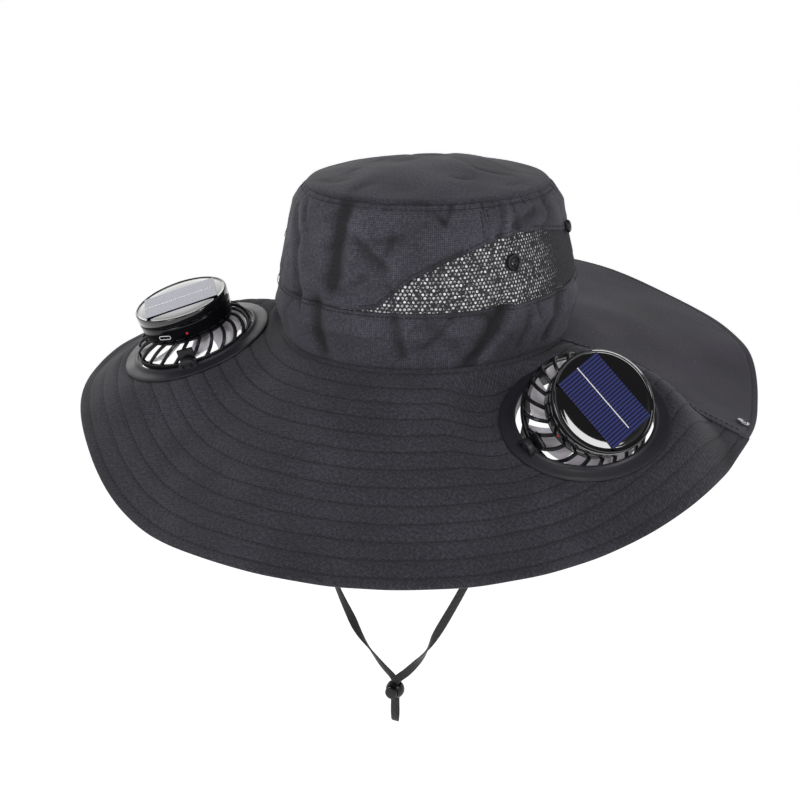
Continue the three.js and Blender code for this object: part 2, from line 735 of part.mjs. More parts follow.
// Arched ear on the collar, over the pivot pin on one side.
function pivotEar(side) {
  const arch = new THREE.Shape();
  const foot = FLANGE_THICKNESS / 3 - PIVOT_HEIGHT;
  arch.moveTo(-EAR_RADIUS, foot);
  arch.lineTo(EAR_RADIUS, foot);
  arch.absarc(0, 0, EAR_RADIUS, 0, Math.PI, false);
  arch.closePath();
  const depth = COLLAR_WALL + EAR_PROUD;
  const inner = COLLAR_BORE + EAR_INSET;
  const ear = new THREE.ExtrudeGeometry(arch, { depth, bevelEnabled: false, curveSegments: 6 });
  const middle = side * (inner + depth / 2);
  return ear.rotateX(Math.PI / 2).translate(0, middle + depth / 2, PIVOT_HEIGHT);
}

// Cage: ring that swings in the collar, swirling ribs up to a round top plate, shaft and pins.
function fanCage() {
  const ringInner = RING_OUTER - RING_WALL;
  const half = RING_HEIGHT / 2;
  const ring = turned([
    [ringInner, -half],
    [RING_OUTER, -half],
    [RING_OUTER, half],
    [ringInner, half],
  ], RIB_COUNT);
  const plate = turned([
    [0, CAGE_TOP_Z],
    [CAGE_TOP_RADIUS, CAGE_TOP_Z],
    [CAGE_TOP_RADIUS, CAGE_TOP_Z + CAGE_TOP_THICKNESS],
    [0, CAGE_TOP_Z + CAGE_TOP_THICKNESS],
  ], RIB_COUNT);
  const ribs = [];
  for (let i = 0; i < RIB_COUNT; i += 1) {
    ribs.push(cageRib(360 * (i + 0.5) / RIB_COUNT));
  }
  const pins = [-1, 1].map((side) => pin(
    new THREE.Vector3(0, side * (RING_OUTER - RING_WALL / 2), 0),
    new THREE.Vector3(0, side * (COLLAR_BORE + COLLAR_WALL + 1), 0),
    PIN_RADIUS,
  ));
  const shaft = pin(
    new THREE.Vector3(0, 0, CAGE_TOP_Z - ROTOR_HUB_HEIGHT + 1),
    new THREE.Vector3(0, 0, CAGE_TOP_Z + CAGE_TOP_THICKNESS / 2),
    SHAFT_RADIUS,
  );
  return carve([ring, plate, ...ribs, ...pins, shaft]);
}

// One rib of the cage, bowed out between the ring and the plate.
function cageRib(startAngle) {
  const stations = [
    { share: 0, radius: RING_OUTER - RING_WALL / 2 - 0.35, z: RING_HEIGHT / 4 },
    { share: 0.55, radius: RING_OUTER - 2.2, z: CAGE_TOP_Z * 0.6 },
    { share: 1, radius: CAGE_TOP_RADIUS - RIB_DEPTH, z: CAGE_TOP_Z + CAGE_TOP_THICKNESS * 0.7 },
  ];
  return throughSections(stations.map((station) => {
    const angle = startAngle + RIB_SWIRL * station.share;
    const turnAcross = THREE.MathUtils.radToDeg(RIB_WIDTH / 2 / station.radius);
    const corners = [[-1, -1], [-1, 1], [1, 1], [1, -1]];
    return corners.map(([side, depth]) => (
      ringPoint(angle + side * turnAcross, station.radius + depth * RIB_DEPTH / 2, station.z)
    ));
  }));
}

// Rotor: hub on the shaft, with thin pitched blades.
function fanRotor() {
  const top = CAGE_TOP_Z - SEAM_GAP - 0.1;
  const bottom = top - ROTOR_HUB_HEIGHT;
  const bore = SHAFT_RADIUS + SHAFT_GAP;
  const hub = turned([
    [bore, bottom],
    [ROTOR_HUB_RADIUS - 1, bottom],
    [ROTOR_HUB_RADIUS, bottom + 1],
    [ROTOR_HUB_RADIUS, top],
    [bore, top],
  ], 16);
  const blades = [];
  for (let i = 0; i < ROTOR_BLADES; i += 1) {
    blades.push(rotorBlade(360 * i / ROTOR_BLADES, (top + bottom) / 2));
  }
  return carve([hub, ...blades]);
}

// One blade: a flat section at each station, turned by its pitch and wrapped round the hub.
function rotorBlade(startAngle, hubMiddle) {
  const corners = [[-0.5, -0.5], [0.5, -0.5], [0.5, 0.5], [-0.5, 0.5]];
  return throughSections(BLADE_STATIONS.map((station) => {
    const radius = THREE.MathUtils.lerp(ROTOR_HUB_RADIUS - BLADE_IN_HUB, ROTOR_RADIUS, station.share);
    const pitch = radians(station.pitch);
    const middle = hubMiddle - station.drop * ROTOR_HUB_HEIGHT;
    return corners.map(([along, through]) => {
      const chord = along * station.chord * ROTOR_RADIUS;
      const wall = through * BLADE_WALL;
      const roundHub = chord * Math.cos(pitch) - wall * Math.sin(pitch);
      const angle = startAngle - BLADE_SWEEP * station.share + THREE.MathUtils.radToDeg(roundHub / radius);
      return ringPoint(angle, radius, middle + chord * Math.sin(pitch) + wall * Math.cos(pitch));
    });
  }));
}

// Heights in the head's own frame, above the pivot.
const PUCK_BASE = CAGE_TOP_Z + CAGE_TOP_THICKNESS + SEAM_GAP;
const PUCK_TOP = PUCK_BASE + PUCK_HEIGHT;
const GROOVE_Z = PUCK_TOP - GROOVE_BELOW_TOP;

// Place on the puck's side wall, for the charging port and its light.
function onPuckSide(angle, z) {
  const place = new THREE.Matrix4().makeRotationZ(radians(angle));
  return place.setPosition(0, 0, z);
}

function roundedBar(width, height, length) {
  const half = (width - height) / 2;
  const outline = new THREE.Shape();
  outline.absarc(half, 0, height / 2, -Math.PI / 2, Math.PI / 2, false);
  outline.absarc(-half, 0, height / 2, Math.PI / 2, 3 * Math.PI / 2, false);
  outline.closePath();
  const bar = new THREE.ExtrudeGeometry(outline, { depth: length, bevelEnabled: false, curveSegments: 4 });
  return bar.rotateX(Math.PI / 2).rotateZ(Math.PI / 2);
}

function puckHousing() {
  const body = turned([
    [0, PUCK_BASE],
    [PUCK_RADIUS - PUCK_TAPER - 1.4, PUCK_BASE],
    [PUCK_RADIUS - PUCK_TAPER, PUCK_BASE + 1.4],
    [PUCK_RADIUS - 0.3, GROOVE_Z - 0.6],
    [PUCK_RADIUS - GROOVE_DEPTH, GROOVE_Z - SEAM_GAP / 2],
    [0, GROOVE_Z - SEAM_GAP / 2],
  ], PUCK_SIDES);
  const slot = roundedBar(PORT_WIDTH, PORT_HEIGHT, PORT_DEPTH * 2)
    .translate(PUCK_RADIUS + PORT_DEPTH, 0, 0)
    .applyMatrix4(onPuckSide(PORT_ANGLE, PUCK_BASE + PORT_ABOVE_BASE));
  const lightBore = pin(
    new THREE.Vector3(PUCK_RADIUS - LIGHT_DEPTH - 1, 0, 0),
    new THREE.Vector3(PUCK_RADIUS + 2, 0, 0),
    LIGHT_RADIUS + SEAM_GAP,
  ).applyMatrix4(onPuckSide(LIGHT_ANGLE, PUCK_BASE + PORT_ABOVE_BASE));
  return carve([body], [slot, lightBore]);
}

function puckCap() {
  return turned([
    [0, GROOVE_Z + SEAM_GAP / 2],
    [PUCK_RADIUS - GROOVE_DEPTH, GROOVE_Z + SEAM_GAP / 2],
    [PUCK_RADIUS, GROOVE_Z + 0.6],
    [PUCK_RADIUS, PUCK_TOP - 1],
    [PUCK_RADIUS - 1.2, PUCK_TOP],
    [0, PUCK_TOP],
  ], PUCK_SIDES);
}

function solarCell() {
  const plate = new THREE.BoxGeometry(CELL_LENGTH, CELL_WIDTH, CELL_THICKNESS);
  return plate.rotateZ(radians(CELL_TURN)).translate(0, 0, PUCK_TOP + SEAM_GAP + CELL_THICKNESS / 2);
}

// Metal lining of the charging port: a rounded tube open at both ends.
function chargePort() {
  const gap = 2 * SEAM_GAP;
  const depth = PORT_DEPTH - 2 * SEAM_GAP;
  const shell = roundedBar(PORT_WIDTH - gap, PORT_HEIGHT - gap, depth);
  const bore = roundedBar(PORT_WIDTH - gap - 2 * PORT_RIM, PORT_HEIGHT - gap - 2 * PORT_RIM, 3 * depth);
  const middle = bore.translate(depth, 0, 0);
  return carve([shell], [middle])
    .translate(PUCK_RADIUS - PUCK_TAPER / 2, 0, 0)
    .applyMatrix4(onPuckSide(PORT_ANGLE, PUCK_BASE + PORT_ABOVE_BASE));
}

function chargeLight() {
  return pin(
    new THREE.Vector3(PUCK_RADIUS - LIGHT_DEPTH - 0.6, 0, 0),
    new THREE.Vector3(PUCK_RADIUS - PUCK_TAPER / 2, 0, 0),
    LIGHT_RADIUS,
  ).applyMatrix4(onPuckSide(LIGHT_ANGLE, PUCK_BASE + PORT_ABOVE_BASE));
}

// Whole route of the strap: down the left leg, round the tail, up the right leg.
function strapRoute() {
  const left = STRAP_LEG.map((p) => ({ ...p, x: -p.x, turn: -p.turn }));
  const back = 2 * LOCK_CENTRE.y;
  const right = STRAP_LEG.map((p) => {
    const nearLock = smoothStep(-p.z, 200, 235);
    return { ...p, y: THREE.MathUtils.lerp(p.y, back - p.y, nearLock) };
  });
  const tip = { ...STRAP_TIP, turn: -STRAP_TIP.turn };
  const turnBack = (p) => ({ ...p, turn: p.turn - 2 * STRAP_TIP.turn });
  return [...left, tip, ...right.reverse().map(turnBack)];
}

// Flat ribbon swept along the route, its width turned as the route says.
function chinStrap() {
  const route = strapRoute();
  const curve = new THREE.CatmullRomCurve3(route.map((p) => new THREE.Vector3(p.x, p.y, p.z)));
  const section = [
    [-0.5, 0.25], [-0.5, -0.25], [-0.4, -0.5], [0.4, -0.5],
    [0.5, -0.25], [0.5, 0.25], [0.4, 0.5], [-0.4, 0.5],
  ];
  const sections = [];
  for (let k = 0; k <= STRAP_STEPS; k += 1) {
    const place = k / STRAP_STEPS;
    const at = place * (route.length - 1);
    const before = Math.min(Math.floor(at), route.length - 2);
    const turn = radians(THREE.MathUtils.lerp(route[before].turn, route[before + 1].turn, at - before));
    const centre = curve.getPoint(place);
    const ahead = curve.getTangent(place);
    const width = new THREE.Vector3(Math.sin(turn), Math.cos(turn), 0);
    width.addScaledVector(ahead, -width.dot(ahead)).normalize();
    const through = ahead.clone().cross(width);
    sections.push(section.map(([across, deep]) => (
      centre.clone()
        .addScaledVector(width, across * STRAP_WIDTH)
        .addScaledVector(through, deep * STRAP_THICKNESS)
    )));
  }
  return throughSections(sections);
}

function cordLock() {
  const ball = new THREE.SphereGeometry(LOCK_RADIUS, BALL_SIDES, BALL_SIDES / 2);
  const boreMouth = new THREE.Vector3(0, -2 * LOCK_RADIUS, 0);
  const bore = pin(boreMouth, new THREE.Vector3(0, 0, 0), LOCK_BORE, BALL_SIDES);
  const slot = new THREE.BoxGeometry(LOCK_SLOT_WIDTH, LOCK_SLOT_DEPTH, 4 * LOCK_RADIUS);
  return carve([ball], [bore, slot]);
}

function lockButton() {
  const face = -LOCK_RADIUS - LOCK_BUTTON_TRAVEL / 2;
  return turned([
    [0, 0],
    [LOCK_BUTTON_RADIUS, 0],
    [LOCK_BUTTON_RADIUS, LOCK_BUTTON_LENGTH - 0.8],
    [LOCK_BUTTON_RADIUS - 0.8, LOCK_BUTTON_LENGTH],
    [0, LOCK_BUTTON_LENGTH],
  ], BALL_SIDES).rotateX(Math.PI / 2).translate(0, face + LOCK_BUTTON_LENGTH, 0);
}

function buildCrown() {
  const crown = new THREE.Group();
  const cloth = () => finish(COLOURS.crownCloth, 0.85);
  crown.add(part('crown_tip', crownTip(), cloth()));
  crown.add(part('crown_band', crownBand(), cloth()));
  const sides = [{ side: 'right', half: 0, sign: 1 }, { side: 'left', half: 180, sign: -1 }];
  sides.forEach(({ side, half, sign }) => {
    crown.add(part(`crown_wall_${side}`, crownWall(half), cloth()));
    crown.add(part(`mesh_window_${side}`, meshWindow(half), finish(COLOURS.net, 0.7)));
    const eyelet = part(`eyelet_${side}`, eyeletShape(), finish(COLOURS.glossPlastic, 0.4));
    crown.add(placeOnCrown(eyelet, half + EYELET_ANGLE, EYELET_Z, EYELET_RADIUS));
    const snap = snapShape(SNAP_HEIGHT);
    const stud = part(`crown_snap_${side}`, snap, finish(COLOURS.glossPlastic, 0.35));
    const studAngle = sign * CROWN_SNAP_ANGLE;
    const studZ = BAND_HEIGHT + windowHeight(studAngle) + CROWN_SNAP_ABOVE_WINDOW;
    crown.add(placeOnCrown(stud, studAngle, studZ, SNAP_RADIUS));
  });
  return crown;
}

function buildBrim() {
  const brim = new THREE.Group();
  const gapAngle = THREE.MathUtils.radToDeg(SEAM_GAP / OPENING_HALF_WIDTH);
  const frontPanel = brimPanel(-BRIM_SEAM_ANGLE, BRIM_SEAM_ANGLE, FRONT_COLUMNS, SEATS);
  const backPanel = brimPanel(BRIM_SEAM_ANGLE + gapAngle, 360 - BRIM_SEAM_ANGLE - gapAngle, BACK_COLUMNS, []);
  brim.add(part('brim_front', frontPanel, finish(COLOURS.brimCloth, 0.9)));
  brim.add(part('brim_back', backPanel, finish(COLOURS.backCloth, 0.9)));
  [{ side: 'right', sign: 1 }, { side: 'left', sign: -1 }].forEach(({ side, sign }) => {
    const shape = snapShape(BRIM_SNAP_HEIGHT);
    const snap = part(`brim_snap_${side}`, shape, finish(COLOURS.steel, 0.3, 1));
    brim.add(placeOnBrim(snap, sign * BRIM_SNAP_ANGLE, BRIM_SNAP_PLACE));
  });
  return brim;
}

// Fan unit on its seat: the flange stays on the brim and the head is turned about the pivot.
function buildFanUnit(unit, seat) {
  const group = new THREE.Group();
  group.applyMatrix4(seat);
  group.add(part(`fan_flange_${unit.side}`, fanFlange(), finish(COLOURS.satinPlastic, 0.4)));
  const head = new THREE.Group();
  head.position.set(0, 0, PIVOT_HEIGHT);
  head.rotation.y = radians(unit.tilt);
  const works = new THREE.Group();
  works.rotation.z = radians(unit.turn);
  head.add(works);
  const gloss = () => finish(COLOURS.glossPlastic, 0.12);
  const name = (piece) => `${piece}_${unit.side}`;
  works.add(part(name('fan_cage'), fanCage(), finish(COLOURS.satinPlastic, 0.35)));
  works.add(part(name('fan_rotor'), fanRotor(), finish(COLOURS.fanGrey, 0.5)));
  works.add(part(name('puck_housing'), puckHousing(), gloss()));
  works.add(part(name('puck_cap'), puckCap(), gloss()));
  works.add(part(name('solar_cell'), solarCell(), finish(COLOURS.cell, 0.25)));
  works.add(part(name('charge_port'), chargePort(), finish(COLOURS.steel, 0.3, 1)));
  works.add(part(name('charge_light'), chargeLight(), finish(COLOURS.led, 0.3)));
  group.add(head);
  return group;
}

function buildStrap() {
  const strap = new THREE.Group();
  strap.add(part('chin_strap', chinStrap(), finish(COLOURS.strap, 0.8)));
  const lock = new THREE.Group();
  lock.position.set(LOCK_CENTRE.x, LOCK_CENTRE.y, LOCK_CENTRE.z);
  lock.add(part('cord_lock', cordLock(), finish(COLOURS.glossPlastic, 0.35)));
  lock.add(part('lock_button', lockButton(), finish(COLOURS.glossPlastic, 0.35)));
  strap.add(lock);
  return strap;
}

const hat = new THREE.Group();
hat.add(buildCrown());
hat.add(buildBrim());
FAN_UNITS.forEach((unit, i) => hat.add(buildFanUnit(unit, SEATS[i])));
hat.add(buildStrap());

export default hat;
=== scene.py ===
# %% [markdown]
# Solar fan hat
#
# A wide sun hat of charcoal cloth, with a stitched brim, net windows in its crown, a flat chin strap
# and two round fan units with solar cells. Each step below says what a piece is on the real hat and
# how it is made here. Lengths are worked out in millimetres and turned to metres when a mesh is made.

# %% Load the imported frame
import math

import bmesh
import bpy
import numpy as np
from mathutils import Matrix, Vector, noise


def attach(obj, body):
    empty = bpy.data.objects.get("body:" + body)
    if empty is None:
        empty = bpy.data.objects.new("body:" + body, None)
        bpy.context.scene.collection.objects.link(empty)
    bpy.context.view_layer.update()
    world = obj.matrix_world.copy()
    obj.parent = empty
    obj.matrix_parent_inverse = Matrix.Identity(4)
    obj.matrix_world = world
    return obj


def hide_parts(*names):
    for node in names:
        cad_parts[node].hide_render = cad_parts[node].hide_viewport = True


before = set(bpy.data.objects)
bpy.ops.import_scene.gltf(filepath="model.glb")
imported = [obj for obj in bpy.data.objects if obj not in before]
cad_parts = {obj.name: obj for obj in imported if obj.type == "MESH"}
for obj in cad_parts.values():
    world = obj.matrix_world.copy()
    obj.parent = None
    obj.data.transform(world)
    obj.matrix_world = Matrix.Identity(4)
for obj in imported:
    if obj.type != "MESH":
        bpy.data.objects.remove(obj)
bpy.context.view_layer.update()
MM = 0.001
scene = bpy.context.scene
scene.view_settings.view_transform = "Standard"
print("loaded", len(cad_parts), "nodes")

# %% [markdown]
# The camera comes first. A 64 mm lens at 0.9 m from the hat was worked out from the round flanges
# and the brim. It stands to the right of the front and a little above the crown, and looks slightly down.

# %% Camera
CAMERA_PLACE = (0.3840, -0.7702, 0.2631)
CAMERA_TURN = (math.radians(69.817), 0.0, math.radians(27.678))
bpy.ops.object.camera_add(location=CAMERA_PLACE, rotation=CAMERA_TURN)
camera = bpy.context.object
camera.name = "camera"
camera.data.lens = 64.0
camera.data.sensor_width = 36.0
camera.data.clip_start = 0.05
camera.data.clip_end = 60.0
scene.camera = camera

# %% [markdown]
# Operators act on whatever is selected, and the loaded nodes are still selected. These helpers
# clear the selection, open one piece in edit mode and make a mesh out of points.

# %% Small helpers for selecting and making meshes
def only(piece):
    """Select one piece and nothing else."""
    bpy.ops.object.select_all(action="DESELECT")
    piece.select_set(True)
    bpy.context.view_layer.objects.active = piece
    return piece


def apply_modifiers(piece):
    only(piece)
    for modifier in list(piece.modifiers):
        bpy.ops.object.modifier_apply(modifier=modifier.name)
    return piece


def smooth(piece, angle=35.0):
    only(piece)
    bpy.ops.object.shade_smooth_by_angle(angle=math.radians(angle))
    return piece


def place_mesh(piece):
    """Put the object's place, turn and size into its mesh."""
    only(piece)
    bpy.ops.object.transform_apply(location=True, rotation=True, scale=True)
    return piece


def edit_all(piece, *steps):
    """Run mesh operators, each with its settings, on the whole of a piece in edit mode."""
    only(piece)
    bpy.ops.object.mode_set(mode="EDIT")
    for operator, settings in steps:
        bpy.ops.mesh.select_all(action="SELECT")
        operator(**settings)
    bpy.ops.object.mode_set(mode="OBJECT")
    return piece


def weld(distance):
    return bpy.ops.mesh.remove_doubles, {"threshold": distance * MM}


FACE_OUTWARDS = (bpy.ops.mesh.normals_make_consistent, {"inside": False})


def points_piece(name, points, edges=(), faces=()):
    mesh = bpy.data.meshes.new(name)
    mesh.from_pydata([tuple(p) for p in points], list(edges), list(faces))
    piece = bpy.data.objects.new(name, mesh)
    scene.collection.objects.link(piece)
    return piece


def grid_sheet(name, columns, rows, place, uv_place):
    """A grid primitive, each vertex moved to place(u, v), with its UV map in metres of cloth.

    place may also give a painted shade for each vertex, which darkens or lightens the cloth's colour."""
    bpy.ops.object.select_all(action="DESELECT")
    bpy.ops.mesh.primitive_grid_add(x_subdivisions=columns, y_subdivisions=rows, size=1.0)
    piece = bpy.context.object
    piece.name = piece.data.name = name
    flat = np.zeros(len(piece.data.vertices) * 3)
    piece.data.vertices.foreach_get("co", flat)
    flat = flat.reshape(-1, 3)
    u, v = flat[:, 0] + 0.5, flat[:, 1] + 0.5
    placed = place(u, v)
    if isinstance(placed, tuple):
        # The painted shade for the cloth's colour is stored on the mesh.
        placed, fold_shade = placed
        piece.data.attributes.new("fold_shade", "FLOAT", "POINT").data.foreach_set("value", np.clip(fold_shade, -1, 1))
    solid = placed * MM
    piece.data.vertices.foreach_set("co", solid.ravel())
    corner = np.zeros(len(piece.data.loops), dtype=np.int32)
    piece.data.loops.foreach_get("vertex_index", corner)
    cloth = uv_place(u, v, solid)[corner]
    piece.data.uv_layers[0].data.foreach_set("uv", cloth.ravel())
    piece.data.update()
    return piece


def turned(name, profile, steps=96):
    """A turned piece: its half section in mm, as (radius, height), is spun round the Z axis."""
    points = [(r * MM, 0.0, z * MM) for r, z in profile]
    edges = [(i, i + 1) for i in range(len(points) - 1)]
    spin = {"steps": steps, "angle": math.tau, "center": (0, 0, 0), "axis": (0, 0, 1)}
    piece = points_piece(name, points, edges)
    edit_all(piece, (bpy.ops.mesh.spin, spin), weld(0.01), FACE_OUTWARDS)
    return smooth(piece)


def joined(name, pieces):
    only(pieces[0])
    for piece in pieces[1:]:
        piece.select_set(True)
    bpy.ops.object.join()
    pieces[0].name = pieces[0].data.name = name
    return pieces[0]


def copied(piece, name, matrix):
    """A copy with its own mesh, put in place by a matrix."""
    twin = piece.copy()
    twin.data = piece.data.copy()
    twin.name = twin.data.name = name
    scene.collection.objects.link(twin)
    twin.data.transform(matrix)
    twin.data.update()
    return twin


def settle(piece, body, slot, material, *nodes):
    """Give a finished piece its material, the body that it rides on and the nodes it stands for."""
    piece.data.materials.clear()
    piece.data.materials.append(material)
    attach(piece, body)
    if nodes:
        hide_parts(*nodes)
    return piece

# %% [markdown]
# Every finish is a small tree of nodes. Colours are written as sRGB hex values, as a paint chart
# gives them, and turned to linear light by one function. One helper adds any node with its settings
# and links. Patterns are measured in millimetres.

# %% Colour and node helpers
def linear(hex_value):
    shares = [(hex_value >> shift & 255) / 255 for shift in (16, 8, 0)]
    return tuple(c / 12.92 if c <= 0.04045 else ((c + 0.055) / 1.055) ** 2.4 for c in shares) + (1.0,)


def new_material(name, colour, roughness, **sockets):
    """A material of one Principled shader, with plain values on its own sockets."""
    material = bpy.data.materials.new(name)
    material.use_nodes = True
    shader = material.node_tree.nodes["Principled BSDF"]
    shader.inputs["Base Color"].default_value = linear(colour)
    shader.inputs["Roughness"].default_value = roughness
    for key, value in sockets.items():
        shader.inputs[key.replace("_", " ")].default_value = value
    return material, shader


def add(material, kind, settings=(), links=(), values=()):
    """Add one node: settings are its own fields, values its sockets, links what feeds its sockets."""
    tree = material.node_tree
    node = tree.nodes.new("ShaderNode" + kind)
    for field, value in dict(settings).items():
        setattr(node, field, value)
    for socket, value in dict(values).items():
        node.inputs[socket].default_value = value
    for socket, source in dict(links).items():
        tree.links.new(source, node.inputs[socket])
    return node


def feed(material, shader, socket, source):
    material.node_tree.links.new(source, shader.inputs[socket])


def colour_ramp(material, source, *stops):
    """A colour ramp fed by a source. Each stop is a place and a hex colour."""
    node = add(material, "ValToRGB", {}, {"Fac": source})
    elements = node.color_ramp.elements
    for place, _ in stops[1:-1]:
        elements.new(place)
    for element, (place, colour) in zip(elements, stops):
        element.position = place
        element.color = linear(colour)
    return node.outputs["Color"]


def noise_at(material, place, scale, detail):
    """Noise on a place, with the number of its swells to the metre."""
    return add(
        material, "TexNoise", {}, {"Vector": place}, {"Scale": scale, "Detail": detail}
    ).outputs["Fac"]


def relief(material, shader, height, strength, distance):
    """Feed a height, with a distance in mm, to the shader's normal."""
    bump = add(
        material, "Bump", {}, {"Height": height}, {"Strength": strength, "Distance": distance * MM}
    )
    feed(material, shader, "Normal", bump.outputs["Normal"])

# %% [markdown]
# The cloth is plain-woven polyester: matt, with a faint sheen where it turns away. Its real threads
# are 0.3 mm apart, too fine for this view, so the weave is drawn at 1.2 mm, broken up by the thicker
# places of the yarn. A slower noise gives the uneven dye. A shade value stored on each sheet's vertices
# darkens the colour in folds, creases, furrows and seams as painted shade, and lightens ridges and swells as
# a painted highlight.

# %% Woven cloth
THREAD_PITCH = 1.2
# A wave texture has a period of this many metres at a scale of one.
WAVE_PERIOD = 0.314


def woven_cloth(name, colour, pale, dark):
    material, shader = new_material(name, colour, 0.85, Sheen_Weight=0.06, Sheen_Roughness=0.5)
    place = add(material, "UVMap")
    pitch = WAVE_PERIOD / (THREAD_PITCH * MM)
    bands = {"Scale": pitch, "Distortion": 1.5, "Detail": 2.0, "Detail Scale": 0.6}
    warp = add(material, "TexWave", {"bands_direction": "X"}, {"Vector": place.outputs[0]}, bands)
    weft = add(material, "TexWave", {"bands_direction": "Y"}, {"Vector": place.outputs[0]}, bands)
    weave = add(
        material, "Math", {"operation": "MULTIPLY"}, {0: warp.outputs["Fac"], 1: weft.outputs["Fac"]}
    )
    slubs = noise_at(material, place.outputs[0], 620.0, 4.0)
    shade = noise_at(material, place.outputs[0], 24.0, 5.0)
    thick = add(
        material, "Math", {"operation": "MULTIPLY_ADD"},
        {0: weave.outputs[0], 2: slubs}, {1: 0.3},
    )
    mix = add(
        material, "Math", {"operation": "MULTIPLY_ADD"},
        {0: shade, 2: thick.outputs[0]}, {1: 0.45},
    )
    dye = colour_ramp(material, mix.outputs[0], (0.62, dark), (0.82, colour), (1.0, pale))
    # Painted shade and highlight: the vertex attribute scales the colour from 2.0 on ridges down to 0.25 in
    # valleys.
    fold_shade = add(material, "Attribute", {"attribute_name": "fold_shade"})
    depth = add(
        material, "MapRange", {}, {"Value": fold_shade.outputs["Fac"]},
        {"From Min": -1.0, "From Max": 1.0, "To Min": 2.0, "To Max": 0.25},
    )
    shaded = add(
        material, "VectorMath", {"operation": "SCALE"},
        {0: dye, "Scale": depth.outputs["Result"]},
    )
    feed(material, shader, "Base Color", shaded.outputs["Vector"])
    relief(material, shader, thick.outputs[0], 0.3, 0.25)
    return material


CROWN_CLOTH = woven_cloth("woven_polyester_crown", 0x36343D, 0x484650, 0x28272E)
BRIM_CLOTH = woven_cloth("woven_polyester_brim", 0x2D2C33, 0x3F3E47, 0x1F1E24)
BACK_CLOTH = woven_cloth("woven_polyester_back", 0x36333D, 0x48444E, 0x29272E)
SEWING_THREAD, _ = new_material("polyester_thread", 0x16161A, 0.6)
NET_YARN, _ = new_material("knitted_net_yarn", 0x2B2B31, 0.6, Sheen_Weight=0.1)

# %% [markdown]
# Behind each net lies a pale, thin gauze, since the holes read as white dots in the photograph. Its
# colour is uneven, as gauze is that has moved about behind its net, and the same noise sets its painted glow,
# so some holes are bright and some dim.

# %% Gauze
GAUZE, gauze_shader = new_material("pale_cotton_gauze", 0xE8E8EA, 0.9)
gauze_place = add(GAUZE, "TexCoord")
gauze_cloud = noise_at(GAUZE, gauze_place.outputs["Object"], 460.0, 3.0)
gauze_colour_and_glow = colour_ramp(GAUZE, gauze_cloud, (0.42, 0x3C3C42), (0.62, 0xFFFFFF))
feed(GAUZE, gauze_shader, "Base Color", gauze_colour_and_glow)
# A faint glow stands in for the daylight that comes through from behind.
feed(GAUZE, gauze_shader, "Emission Color", gauze_colour_and_glow)
gauze_shader.inputs["Emission Strength"].default_value = 0.2

# %% [markdown]
# The plastics are moulded ABS. The flange and cage are satin, with a fine spark texture from the
# mould. The puck is polished, so it mirrors the studio, and its few wipe marks only show in the gloss.
# Its face is clear resin over black, and reflects more than plain resin does, as the photograph's does.

# %% Moulded plastics and metal
def moulded_plastic(name, colour, low, high, grain_mm, bump, **sockets):
    material, shader = new_material(name, colour, low, **sockets)
    place = add(material, "TexCoord")
    grain = noise_at(material, place.outputs["Object"], 1.0 / (grain_mm * MM), 2.0)
    wipe = noise_at(material, place.outputs["Object"], 60.0, 3.0)
    gloss = add(
        material, "MapRange", {}, {"Value": wipe},
        {"From Min": 0.3, "From Max": 0.7, "To Min": low, "To Max": high},
    )
    feed(material, shader, "Roughness", gloss.outputs["Result"])
    relief(material, shader, grain, bump, 0.05)
    return material


SATIN_ABS = moulded_plastic("moulded_abs_satin", 0x24242A, 0.36, 0.48, 0.5, 0.3, IOR=1.45)
DARK_ABS = moulded_plastic("moulded_abs_dark", 0x121215, 0.24, 0.36, 0.5, 0.15, IOR=1.4)
GLOSS_ABS = moulded_plastic("polished_abs", 0x0B0B0E, 0.04, 0.08, 0.8, 0.02, IOR=1.36)
CLEAR_FACE = moulded_plastic("resin_over_black", 0x08080B, 0.03, 0.06, 0.8, 0.01, IOR=1.6, Coat_Weight=0.6)
FAN_ABS = moulded_plastic("moulded_abs_pale_grey", 0xECE7EE, 0.38, 0.5, 0.6, 0.1, IOR=1.53)
NICKEL, _ = new_material("nickel_plated_steel", 0xC9C9CE, 0.18, Metallic=1.0)
BUSBAR, _ = new_material("tinned_copper_strip", 0xE9E6E0, 0.35, Coat_Weight=0.8)
RED_LENS, lens_shader = new_material("red_led_lens", 0xB02028, 0.2, Emission_Strength=0.15)
lens_shader.inputs["Emission Color"].default_value = linear(0xD01820)

# %% [markdown]
# The chin strap is one flat braided ribbon, 5.5 mm wide, sewn inside the band at both ends. It
# hangs through the sliding lock and is folded back in a short tail. The points are the ones its
# solid follows. The ribbon's width turns on the way down, as the photograph shows at its twists.

# %% Chin strap
STRAP_WIDTH = 5.5
STRAP_THICKNESS = 1.1
STRAP_STEP = 2.0
LOCK_CENTRE = (0.0, -45.0, -243.0)
STRAP_LEG = [
    (81.2, -23.3, 6, 16),
    (81.3, -23.3, -5, 16),
    (81.6, -26.5, -30, 18),
    (78, -33, -65, 22),
    (70.5, -40.5, -100, 30),
    (60, -46.8, -132, 42),
    (48.6, -49, -158, 57),
    (39, -49.6, -178, 75),
    (31.3, -49.4, -193, 110),
    (25, -48.9, -205, 170),
    (17.2, -47, -217, 232),
    (9, -45.3, -227.5, 262),
    (1.2, -44.1, -235.8, 270),
    (0, -44.1, -243, 270),
    (0, -44.1, -252, 270),
    (0, -43.9, -261, 270),
]
STRAP_TIP = (0.0, -45.0, -267.0, 270.0)


def ease(value, low, high):
    share = np.clip((value - low) / (high - low), 0.0, 1.0)
    return share * share * (3 - 2 * share)


